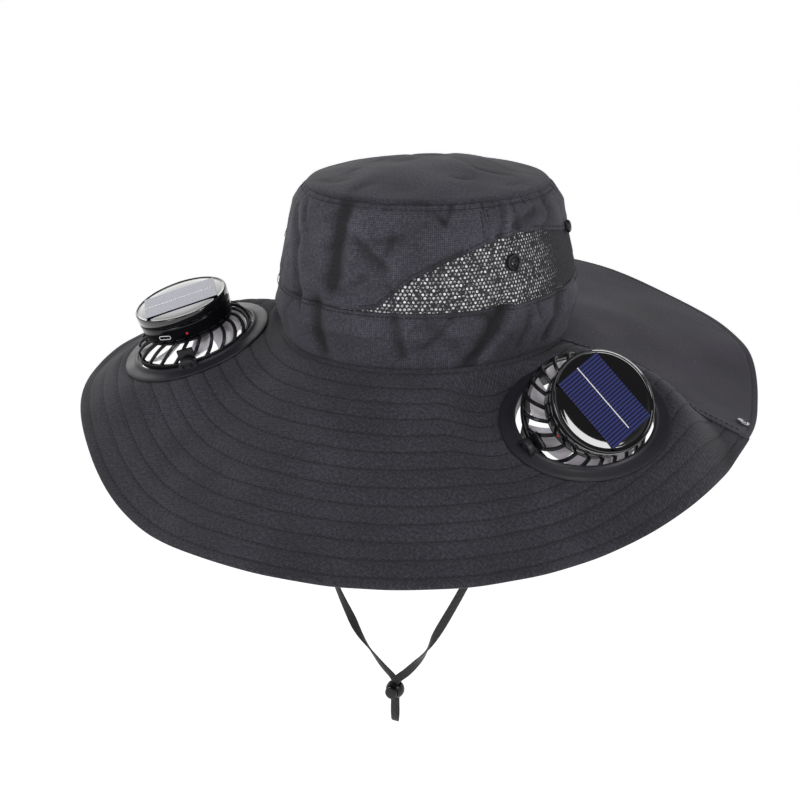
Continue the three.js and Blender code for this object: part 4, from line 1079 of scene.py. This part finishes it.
def tip_place(u, v):
    """The tip's disc, from its rim at v = 0 to its middle at v = 1."""
    angle = 360.0 * u
    share = 1 - v
    rim = crown_radius(angle, np.full_like(angle, CROWN_HEIGHT))
    z = CROWN_HEIGHT + SEAM_GAP + CROWN_WALL + TIP_RISE * (1 - share**2)
    points = sunk_back(ring_points(angle, rim * share, z))
    lip = -1.5 * np.exp(-((v * 75 / 1.2) ** 2))
    flat = points * np.array([1, 1, 0.0])
    swells = cloth_ripple(flat, 1.4, 30.0)
    valleys = wrinkles(flat, 30.0)
    points[:, 2] += lip + (swells - valleys) * ease(v, 0.0, 0.2)
    # Painted shade in the valleys and at the seam's lip, painted highlight on the swells.
    return points, 0.6 * valleys - 0.3 * swells - 0.4 * lip


tip = grid_sheet("crown_tip_cloth", 300, 70, tip_place, flat_cloth)
edit_all(tip, weld(0.02))
facing_up(tip)
thicken(tip, CLOTH_THICKNESS)
smooth(tip, 60)
settle(tip, "hat", "crown_cloth", CROWN_CLOTH, "crown_tip")

# %% [markdown]
# Topstitching holds every folded edge of the crown: round the tip, along the windows, beside the
# panel seams and along the top of the band. It uses the same stitch as the brim, set closer.

# %% Topstitching on the crown
CROWN_STITCH_PITCH = 2.8
CROWN_STITCH_SCALE = 0.85


def crown_row(angles, z, lift):
    line = crown_surface(angles, z)
    out = outwards(line)
    return stitches_along(line + out * lift, out, CROWN_STITCH_PITCH, CROWN_STITCH_SCALE)


crown_rows = []
full = np.linspace(0, 360, 720)
crown_rows.append(crown_row(full, np.full_like(full, CROWN_HEIGHT - 2.6), lift=0.1))
for half in (0.0, 180.0):
    over = np.linspace(half + WINDOW_START + 1, half + WINDOW_START + WINDOW_SPAN - 1, 260)
    edge = BAND_HEIGHT + SEAM_GAP + window_height(over) + 2.4
    crown_rows.append(crown_row(over, edge, lift=0.6))
    seam_z = np.linspace(BAND_HEIGHT + 30, CROWN_HEIGHT - 3, 40)
    for offset in (-1.6, 1.6):
        seam_angle = np.full_like(seam_z, half + PANEL_SEAM_ANGLE + offset)
        kept = seam_z > BAND_HEIGHT + window_height(seam_angle) + 3
        if kept.sum() > 4:
            crown_rows.append(crown_row(seam_angle[kept], seam_z[kept], lift=0.25))
crown_rows.append(crown_row(full, np.full_like(full, BAND_HEIGHT - 2.2), lift=0.55))
sewn("crown_stitches", crown_rows, slot="crown_cloth")

# %% [markdown]
# The windows are warp-knitted net with round holes on a staggered grid, 2.4 mm apart. Six-sided
# cells are laid over the window, and a Wireframe modifier turns their edges into yarn.

# %% Net windows
NET_PITCH = 2.4
NET_YARN_WIDTH = 1.05
GAUZE_BEHIND = 0.45
NET_INSET = 1.1
NET_TUCK = 2.0


def net_window(side, half):
    """Six-sided cells over one window, a little past its edges, bent onto the crown."""
    mm_per_degree = math.radians(OPENING_HALF_DEPTH - 4)
    radius = NET_PITCH / math.sqrt(3)
    row_step = 1.5 * radius
    sixths = [math.tau * k / 6 for k in range(6)]
    corners = [(math.sin(turn) * radius, math.cos(turn) * radius) for turn in sixths]
    points = []
    faces = []
    rows = int((WINDOW_HEIGHT + 2 * NET_TUCK) / row_step) + 1
    columns = int(WINDOW_SPAN * mm_per_degree / NET_PITCH) + 1
    for j in range(rows):
        for i in range(columns):
            x = (i + 0.5 * (j % 2)) * NET_PITCH
            z = BAND_HEIGHT - NET_TUCK + j * row_step
            angle = half + WINDOW_START + x / mm_per_degree
            top = BAND_HEIGHT + float(window_height(angle)) + NET_TUCK
            if z > top or x > WINDOW_SPAN * mm_per_degree:
                continue
            faces.append(tuple(range(len(points), len(points) + 6)))
            points += [(half + WINDOW_START + (x + cx) / mm_per_degree, z + cz) for cx, cz in corners]
    flat = np.array(points)
    points = crown_surface(flat[:, 0], flat[:, 1], NET_INSET) * MM
    sheet = points_piece(f"net_window_{side}", points, (), faces)
    edit_all(sheet, weld(0.05), FACE_OUTWARDS)
    yarn = sheet.modifiers.new("yarn", "WIREFRAME")
    yarn.thickness = NET_YARN_WIDTH * MM
    yarn.use_even_offset = False
    apply_modifiers(sheet)
    smooth(sheet, 60)
    settle(sheet, "hat", "net", NET_YARN, f"mesh_window_{side}")
    print(sheet.name, len(faces), "holes")


def gauze_place_at(half):
    def place(u, v):
        angle = half + WINDOW_START + WINDOW_SPAN * u
        z = BAND_HEIGHT - NET_TUCK + (window_height(angle) + 2 * NET_TUCK) * v
        return crown_surface(angle, z, NET_INSET + GAUZE_BEHIND)

    return place


for side, half in (("right", 0.0), ("left", 180.0)):
    net_window(side, half)
    gauze = grid_sheet(f"window_gauze_{side}", 90, 14, gauze_place_at(half), wall_cloth)
    settle(smooth(gauze), "hat", "net", GAUZE)

# %% [markdown]
# Each window carries a round black vent button. The side studs and the silver snaps of the brim
# are pressed metal caps. All are turned pieces, stood on the cloth along its own normal.

# %% Studs, snaps and vent buttons
def stand_on(piece, name, point, normal, material, slot, node):
    turn = Vector(normal).to_track_quat("Z", "Y").to_matrix().to_4x4()
    twin = copied(piece, name, Matrix.Translation(Vector(point) * MM) @ turn)
    return settle(twin, "hat", slot, material, node)


def crown_spot(angle, z):
    """A point on the crown and the cloth's normal there."""
    reach = 2.5
    across = crown_surface(angle + reach, z) - crown_surface(angle - reach, z)
    up = crown_surface(angle, z + 4) - crown_surface(angle, z - 4)
    normal = np.cross(across, up)
    return crown_surface(angle, z), normal / np.linalg.norm(normal)


vent = turned("vent", [(1.7, 0.3), (1.7, 1.1), (2.3, 1.3), (2.6, 0.9), (3.3, 0.9), (3.6, 1.6), (4.4, 1.9),
                       (5.0, 1.5), (5.25, 0.7), (5.2, 0.2), (4.6, 0.0), (1.9, 0.0), (1.7, 0.3)], 48)
stud = turned("stud", [(0.0, 1.0), (1.2, 1.0), (1.4, 2.3), (1.9, 2.6), (2.8, 2.5), (3.6, 1.9), (4.0, 1.1),
                       (4.0, 0.3), (3.6, 0.0), (0.0, 0.0)], 40)
snap = turned("snap", [(0.0, 0.5), (1.1, 0.5), (1.3, 1.0), (1.9, 1.1), (2.1, 0.7), (2.7, 0.7), (3.0, 1.3),
                       (3.5, 1.5), (3.9, 1.2), (4.0, 0.6), (3.8, 0.1), (3.4, 0.0), (0.0, 0.0)], 40)
VENT_ANGLE = 60.0
VENT_Z = 58.0
STUD_ANGLE = 106.0
STUD_ABOVE_WINDOW = 2.5
SNAP_ANGLE = 100.5
SNAP_PLACE = 0.94
dark = (DARK_ABS, "satin_plastic")
for side, half, sign in (("right", 0.0, 1), ("left", 180.0, -1)):
    point, normal = crown_spot(half + VENT_ANGLE, VENT_Z)
    stand_on(vent, f"vent_button_{side}", point - 0.4 * normal, normal, *dark, f"eyelet_{side}")
    stud_z = BAND_HEIGHT + float(window_height(sign * STUD_ANGLE)) + STUD_ABOVE_WINDOW
    point, normal = crown_spot(sign * STUD_ANGLE, stud_z)
    stand_on(stud, f"crown_stud_{side}", point + 0.6 * normal, normal, *dark, f"crown_snap_{side}")
    point = brim_surface(sign * SNAP_ANGLE, SNAP_PLACE)
    normal = brim_normal(np.array([sign * SNAP_ANGLE]), np.array([SNAP_PLACE]))[0]
    stand_on(
        snap, f"brim_snap_ring_{side}", point + 0.5 * normal, normal, NICKEL, "steel", f"brim_snap_{side}"
    )
for pattern in (vent, stud, snap):
    bpy.data.objects.remove(pattern, do_unlink=True)

# %% [markdown]
# The flange is a wide satin disc that clamps the cloth, with a collar in which the head swings.
# Its pivot ears are small arches with two moulded slots. All is modelled once round the Z axis,
# and then copied onto the left and the right seat.

# %% Flange
COLLAR_BORE = 38.6
COLLAR_WALL = 2.2
PIVOT_HEIGHT = 2.5
EAR_RADIUS = 6.0
collar_outer = COLLAR_BORE + COLLAR_WALL
flange = turned("flange", [
    (COLLAR_BORE, -4.0), (COLLAR_BORE + 0.3, -4.2), (collar_outer - 0.3, -4.2), (collar_outer, -3.9),
    (collar_outer, 0.0), (47.4, 0.0), (47.9, 0.2), (48.0, 0.55), (47.8, 0.95), (47.2, 1.25), (45.5, 1.5),
    (43.0, 1.85), (41.4, 2.2), (40.6, 2.75), (40.2, 3.2), (39.6, 3.42), (39.0, 3.38), (38.65, 3.0),
    (COLLAR_BORE, 2.4), (COLLAR_BORE, -4.0),
], 128)


def pivot_ear(sign):
    """An arched ear over the pivot pin: a cylinder's upper part on a straight foot, with two slots."""
    depth = COLLAR_WALL + 1.6
    middle = sign * (COLLAR_BORE + 0.5 + depth / 2)
    arch = add_cylinder(EAR_RADIUS, depth, (0, middle, PIVOT_HEIGHT), (math.pi / 2, 0, 0), 40)
    foot = add_block((2 * EAR_RADIUS, depth, PIVOT_HEIGHT - 0.7), (0, middle, 0.7 + (PIVOT_HEIGHT - 0.7) / 2))
    cut_away(arch, add_block((20, 20, 10), (0, middle, PIVOT_HEIGHT - 5 - 1.8)))
    for x in (-2.6, 2.6):
        cut_away(arch, add_block((1.3, 2.4, 4.4), (x, middle + sign * depth / 2, PIVOT_HEIGHT + 0.6)))
    ear = joined("ear", [arch, foot])
    return soften(ear, 0.35, 2)


flange = joined("flange", [flange, pivot_ear(-1), pivot_ear(1)])

# %% [markdown]
# The cage is a ring, a top plate, and twenty-two ribs that bow out and swirl between them. One rib
# is a curve with a rounded section, made a mesh and copied round.

# %% Cage
RIB_COUNT = 22
RIB_SWIRL = 20.0
RIB_RADIUS = 1.15
CAGE_TOP_Z = 10.4
HINGE_BLOCK = (10.0, 2.4, 12.4)
ring = turned("ring", [(35.2, -1.7), (35.5, -2.0), (37.1, -2.0), (37.4, -1.7), (37.4, 1.6), (37.0, 2.0),
                       (35.6, 2.0), (35.2, 1.6), (35.2, -1.7)], 96)
plate = turned("plate", [(0.0, CAGE_TOP_Z), (27.4, CAGE_TOP_Z), (28.0, 10.8), (28.2, 11.6), (27.8, 12.0),
                         (0.0, 12.0)], 96)
RIB_PATH = [(0.0, 36.1, 0.6), (0.2, 36.3, 2.8), (0.42, 35.6, 5.4), (0.65, 33.6, 8.2), (0.85, 30.6, 10.4),
            (1.0, 27.4, 11.2)]


def cage_rib():
    curve = bpy.data.curves.new("rib", "CURVE")
    curve.dimensions = "3D"
    curve.bevel_depth = RIB_RADIUS * MM
    curve.bevel_resolution = 2
    curve.use_fill_caps = True
    line = curve.splines.new("NURBS")
    line.points.add(len(RIB_PATH) - 1)
    for point, (share, radius, z) in zip(line.points, RIB_PATH):
        turn = math.radians(RIB_SWIRL * share)
        point.co = (math.sin(turn) * radius * MM, -math.cos(turn) * radius * MM, z * MM, 1.0)
    line.order_u = 3
    line.use_endpoint_u = True
    line.resolution_u = 4
    rib = bpy.data.objects.new("rib", curve)
    scene.collection.objects.link(rib)
    only(rib)
    bpy.ops.object.convert(target="MESH")
    return bpy.context.object


first_rib = cage_rib()
ribs = [first_rib]
for k in range(1, RIB_COUNT):
    ribs.append(copied(first_rib, f"rib_{k}", Matrix.Rotation(math.tau * k / RIB_COUNT, 4, "Z")))
pins = [add_cylinder(1.5, 5.2, (0, sign * 38.9, 0), (math.pi / 2, 0, 0), 20) for sign in (-1, 1)]
shaft = add_cylinder(1.5, 7.0, (0, 0, 7.0), sides=20)
blocks = [soften(add_block(HINGE_BLOCK, (0, sign * 36.2, 4.2)), 0.5) for sign in (-1, 1)]
cage = smooth(joined("cage", [ring, plate, *ribs, *pins, *blocks, shaft]), 40)

# %% [markdown]
# The rotor is an axial fan in pale grey plastic: a hub with seven thin, twisted blades. A grid is
# bent into one blade, given its wall, and copied round the hub.

# %% Rotor
BLADES = 7
BLADE_ROOT = 9.5
BLADE_TIP = 33.5
BLADE_SWEEP = 22.0
# Blade from root to tip: chord, pitch in degrees and height of its middle.
BLADE_STATIONS = [(0.0, 9.0, 40.0, 6.15), (0.5, 19.0, 26.0, 4.6), (1.0, 29.0, 16.0, 1.6)]
HUB_TOP = 10.0
HUB_BOTTOM = 3.0
hub = turned("hub", [(1.85, HUB_BOTTOM), (10.0, HUB_BOTTOM), (10.7, 3.3), (11.0, 4.0), (11.0, HUB_TOP - 0.4),
                     (10.6, HUB_TOP), (1.85, HUB_TOP), (1.85, HUB_BOTTOM)], 48)


def blade_place(u, v):
    shares = [row[0] for row in BLADE_STATIONS]
    chord, pitch, middle = (np.interp(v, shares, [row[k] for row in BLADE_STATIONS]) for k in (1, 2, 3))
    radius = BLADE_ROOT + (BLADE_TIP - BLADE_ROOT) * v
    pitch = np.radians(pitch)
    along = (u - 0.5) * chord
    camber = 0.6 * (1 - (2 * u - 1) ** 2)
    turn = along * np.cos(pitch) / radius - np.radians(BLADE_SWEEP) * v
    z = middle + along * np.sin(pitch) + camber
    return np.stack([np.sin(turn) * radius, -np.cos(turn) * radius, z], axis=-1)


blade = grid_sheet("blade", 16, 14, blade_place, flat_cloth)
facing_up(blade)
thicken(blade, 0.9)
blades = [blade]
for k in range(1, BLADES):
    blades.append(copied(blade, f"blade_{k}", Matrix.Rotation(math.tau * k / BLADES, 4, "Z")))
rotor = smooth(joined("rotor", [hub, *blades]), 45)

# %% [markdown]
# The puck holds the battery, the motor and the cell. It is two polished mouldings with a groove
# between them. The cap has a raised lip with a clear, slightly domed face inside it, which is what
# catches a curved highlight next to the rim.

# %% Puck
PUCK_RADIUS = 29.8
PUCK_BASE = 12.3
PUCK_TOP = 28.8
GROOVE_Z = 22.8
housing = turned("housing", [
    (0.0, PUCK_BASE), (26.0, PUCK_BASE), (27.4, 12.55), (28.3, 13.2), (28.75, 14.1), (29.1, 17.0),
    (29.45, 21.2), (29.5, 21.9), (29.35, 22.3), (29.0, 22.6), (0.0, 22.65),
], 128)
cap = turned("cap", [
    (0.0, GROOVE_Z + 0.15), (29.0, GROOVE_Z + 0.15), (29.55, 23.3), (29.8, 23.9), (29.8, 27.6),
    (29.7, 28.2), (29.4, 28.62), (29.0, PUCK_TOP), (28.6, 28.72), (28.35, 28.45), (27.6, 28.2), (26.4, 28.42),
    (24.6, 28.64), (22.0, 28.76), (18.0, PUCK_TOP), (0.0, PUCK_TOP),
], 128)
PORT_ANGLE = 68.0
LIGHT_ANGLE = 97.0
PORT_Z = PUCK_BASE + 4.6


def rounded_bar(width, height, depth, centre_x):
    """A bar with round ends, lying across the X axis: a block and two cylinders joined by booleans."""
    half = (width - height) / 2
    bar = add_block((depth, 2 * half, height), (centre_x, 0, 0))
    for sign in (-1, 1):
        end = add_cylinder(height / 2, depth, (centre_x, sign * half, 0), (0, math.pi / 2, 0), 24)
        union = bar.modifiers.new("union", "BOOLEAN")
        union.operation = "UNION"
        union.solver = "EXACT"
        union.object = end
        apply_modifiers(bar)
        bpy.data.objects.remove(end, do_unlink=True)
    return bar


port_turn = Matrix.Translation((0, 0, PORT_Z * MM)) @ Matrix.Rotation(math.radians(PORT_ANGLE), 4, "Z")
slot_cutter = rounded_bar(9.0, 3.2, 6.0, PUCK_RADIUS)
slot_cutter.data.transform(port_turn)
cut_away(housing, slot_cutter)
smooth(housing, 30)
port = rounded_bar(8.5, 2.7, 2.4, 28.1)
cut_away(port, rounded_bar(7.6, 1.8, 6.0, 28.6))
port.data.transform(port_turn)
smooth(port, 30)
lens = turned("lens", [(0.0, 0.5), (0.4, 0.45), (0.75, 0.2), (0.9, -0.2), (0.9, -0.8), (0.0, -0.8)], 24)
lens_turn = Matrix.Rotation(math.radians(LIGHT_ANGLE), 4, "Z")
lens_turn = lens_turn @ Matrix.Translation((29.1 * MM, 0, PORT_Z * MM))
lens.data.transform(lens_turn @ Matrix.Rotation(math.pi / 2, 4, "Y"))

# %% [markdown]
# The cell is a dark blue wafer, cut into strips that run across it, with one pale busbar along its
# middle. The strips are 1.9 mm apart. The wafer sits under clear resin, so it has a glossy coat. Its
# faces stay flat shaded, since a bent normal would bend what they mirror.

# %% Solar cell
CELL_LENGTH = 46.0
CELL_WIDTH = 31.0
STRIP_PITCH = 1.9
CELL_TURN = 10.0
CELL_THICKNESS = 0.22
CELL_FOOT = PUCK_TOP + SEAM_GAP
cell = add_block((CELL_LENGTH, CELL_WIDTH, CELL_THICKNESS), (0, 0, CELL_FOOT + CELL_THICKNESS / 2))
soften(cell, 0.06, 1, flat=True)
bar = add_block((42.5, 0.6, 0.1), (1.6, 0, CELL_FOOT + CELL_THICKNESS + 0.02))
soften(bar, 0.03, 1, flat=True)
for piece in (cell, bar):
    layer = piece.data.uv_layers.get("UVMap") or piece.data.uv_layers.new(name="UVMap")
    for loop in piece.data.loops:
        place = piece.data.vertices[loop.vertex_index].co
        layer.data[loop.index].uv = (place.x, place.y)
    piece.data.transform(Matrix.Rotation(math.radians(CELL_TURN), 4, "Z"))

CELL_BLUE, cell_shader = new_material(
    "silicon_wafer_in_resin", 0x343A78, 0.3, Coat_Weight=1.0, Coat_Roughness=0.05, Coat_IOR=1.8,
    Specular_IOR_Level=0.0
)
cell_place = add(CELL_BLUE, "UVMap")
strips = add(
    CELL_BLUE, "TexWave", {"bands_direction": "X", "wave_profile": "SIN"}, {"Vector": cell_place.outputs[0]},
    {"Scale": WAVE_PERIOD / (STRIP_PITCH * MM), "Distortion": 0.0},
)
strip_colour = colour_ramp(CELL_BLUE, strips.outputs["Fac"], (0.28, 0x14152A), (0.5, 0x343A72))
feed(CELL_BLUE, cell_shader, "Base Color", strip_colour)

# %% [markdown]
# Flange and head are copied onto each seat. The flange stays with the cloth. The head stands on
# its pivot, tilted as the photograph shows it, and the right one is turned half way round.

# %% Put both fan units together
for side, seat in SEATS.items():
    tilt, head_turn = (math.radians(value) for value in FAN_SEATS[side][5:])
    seat_m = Matrix.Translation(seat.translation * MM) @ seat.to_3x3().to_4x4()
    head_m = seat_m @ Matrix.Translation((0, 0, PIVOT_HEIGHT * MM)) @ Matrix.Rotation(tilt, 4, "Y")
    head_m = head_m @ Matrix.Rotation(head_turn, 4, "Z")
    head = f"head_{side}"
    flange_copy = copied(flange, f"flange_{side}", seat_m)
    settle(flange_copy, "hat", "satin_plastic", SATIN_ABS, f"fan_flange_{side}")
    settle(copied(cage, f"cage_{side}", head_m), head, "satin_plastic", DARK_ABS, f"fan_cage_{side}")
    rotor_copy = copied(rotor, f"rotor_{side}_blades", head_m)
    settle(rotor_copy, f"rotor_{side}", "fan_grey", FAN_ABS, f"fan_rotor_{side}")
    housing_copy = copied(housing, f"housing_{side}", head_m)
    settle(housing_copy, head, "gloss_black", GLOSS_ABS, f"puck_housing_{side}")
    settle(copied(cap, f"cap_{side}", head_m), head, "gloss_black", CLEAR_FACE, f"puck_cap_{side}")
    settle(copied(port, f"port_{side}", head_m), head, "steel", NICKEL, f"charge_port_{side}")
    settle(copied(lens, f"lens_{side}", head_m), head, "led", RED_LENS, f"charge_light_{side}")
    settle(copied(cell, f"cell_{side}", head_m), head, "solar_cell", CELL_BLUE, f"solar_cell_{side}")
    settle(copied(bar, f"busbar_{side}", head_m), head, "solar_cell", BUSBAR)
for pattern in (flange, cage, rotor, housing, cap, port, lens, cell, bar):
    bpy.data.objects.remove(pattern, do_unlink=True)

# %% [markdown]
# The studio is a pale floor far below, since the hat is held up as a head holds it. The surround is
# white near the horizon and dim overhead, so that the tilted black face stays black. One light
# stands behind on the left, where the left cell mirrors it, and a small one stands in front on the
# right, for the curved highlight on the right cap. Overhead and front lights shape the cloth.

# %% Floor, surround and lights
bpy.ops.object.select_all(action="DESELECT")
bpy.ops.mesh.primitive_plane_add(size=80.0, location=(0, 0, -1.3))
floor = bpy.context.object
floor.name = "floor"
FLOOR_PAINT, floor_shader = new_material("matt_white_floor", 0xE0E0E0, 0.9, Emission_Strength=0.8)
floor_shader.inputs["Emission Color"].default_value = (1, 1, 1, 1)
floor.data.materials.append(FLOOR_PAINT)

world = bpy.data.worlds.new("studio")
scene.world = world
world.use_nodes = True
sky = world.node_tree.nodes["Background"]
sky_place = add(world, "TexCoord")
sky_height = add(world, "SeparateXYZ", {}, {0: sky_place.outputs["Generated"]})
sky_fade = add(
    world, "MapRange", {}, {"Value": sky_height.outputs["Z"]},
    {"From Min": 0.3, "From Max": 0.62, "To Min": 0.75, "To Max": 0.1},
)
feed(world, sky, "Strength", sky_fade.outputs["Result"])
sky.inputs["Color"].default_value = (1.0, 1.0, 1.0, 1.0)


def soft_light(name, direction, distance, size, power, aim=(0, 0, 0), along=(0, 0, 1)):
    """A rectangular soft light that faces a spot from a direction, its height lying along a line."""
    towards = Vector(direction).normalized()
    bpy.ops.object.light_add(type="AREA")
    light = bpy.context.object
    light.name = name
    light.data.shape = "RECTANGLE"
    light.data.size, light.data.size_y = size
    light.data.energy = power
    upright = (Vector(along) - towards * towards.dot(Vector(along))).normalized()
    turn = Matrix((upright.cross(towards), upright, towards)).transposed()
    light.matrix_world = Matrix.Translation(Vector(aim) + towards * distance) @ turn.to_4x4()


LEFT_FACE = (-0.137, -0.074, 0.016)
RIGHT_FACE = (0.147, -0.079, -0.002)
soft_light("overhead", (0.1, -0.35, 1.0), 2.4, (1.0, 1.0), 8.0)
soft_light("front", (-0.25, -1.0, 0.5), 2.4, (0.8, 0.8), 11.0)
soft_light("back_left", (-0.697, 0.591, 0.406), 2.3, (1.5, 1.5), 11.5, LEFT_FACE)
soft_light("crescent", (0.75, -0.30, 0.587), 1.9, (0.46, 0.66), 9.0, RIGHT_FACE, (0.65, 0.43, -0.61))
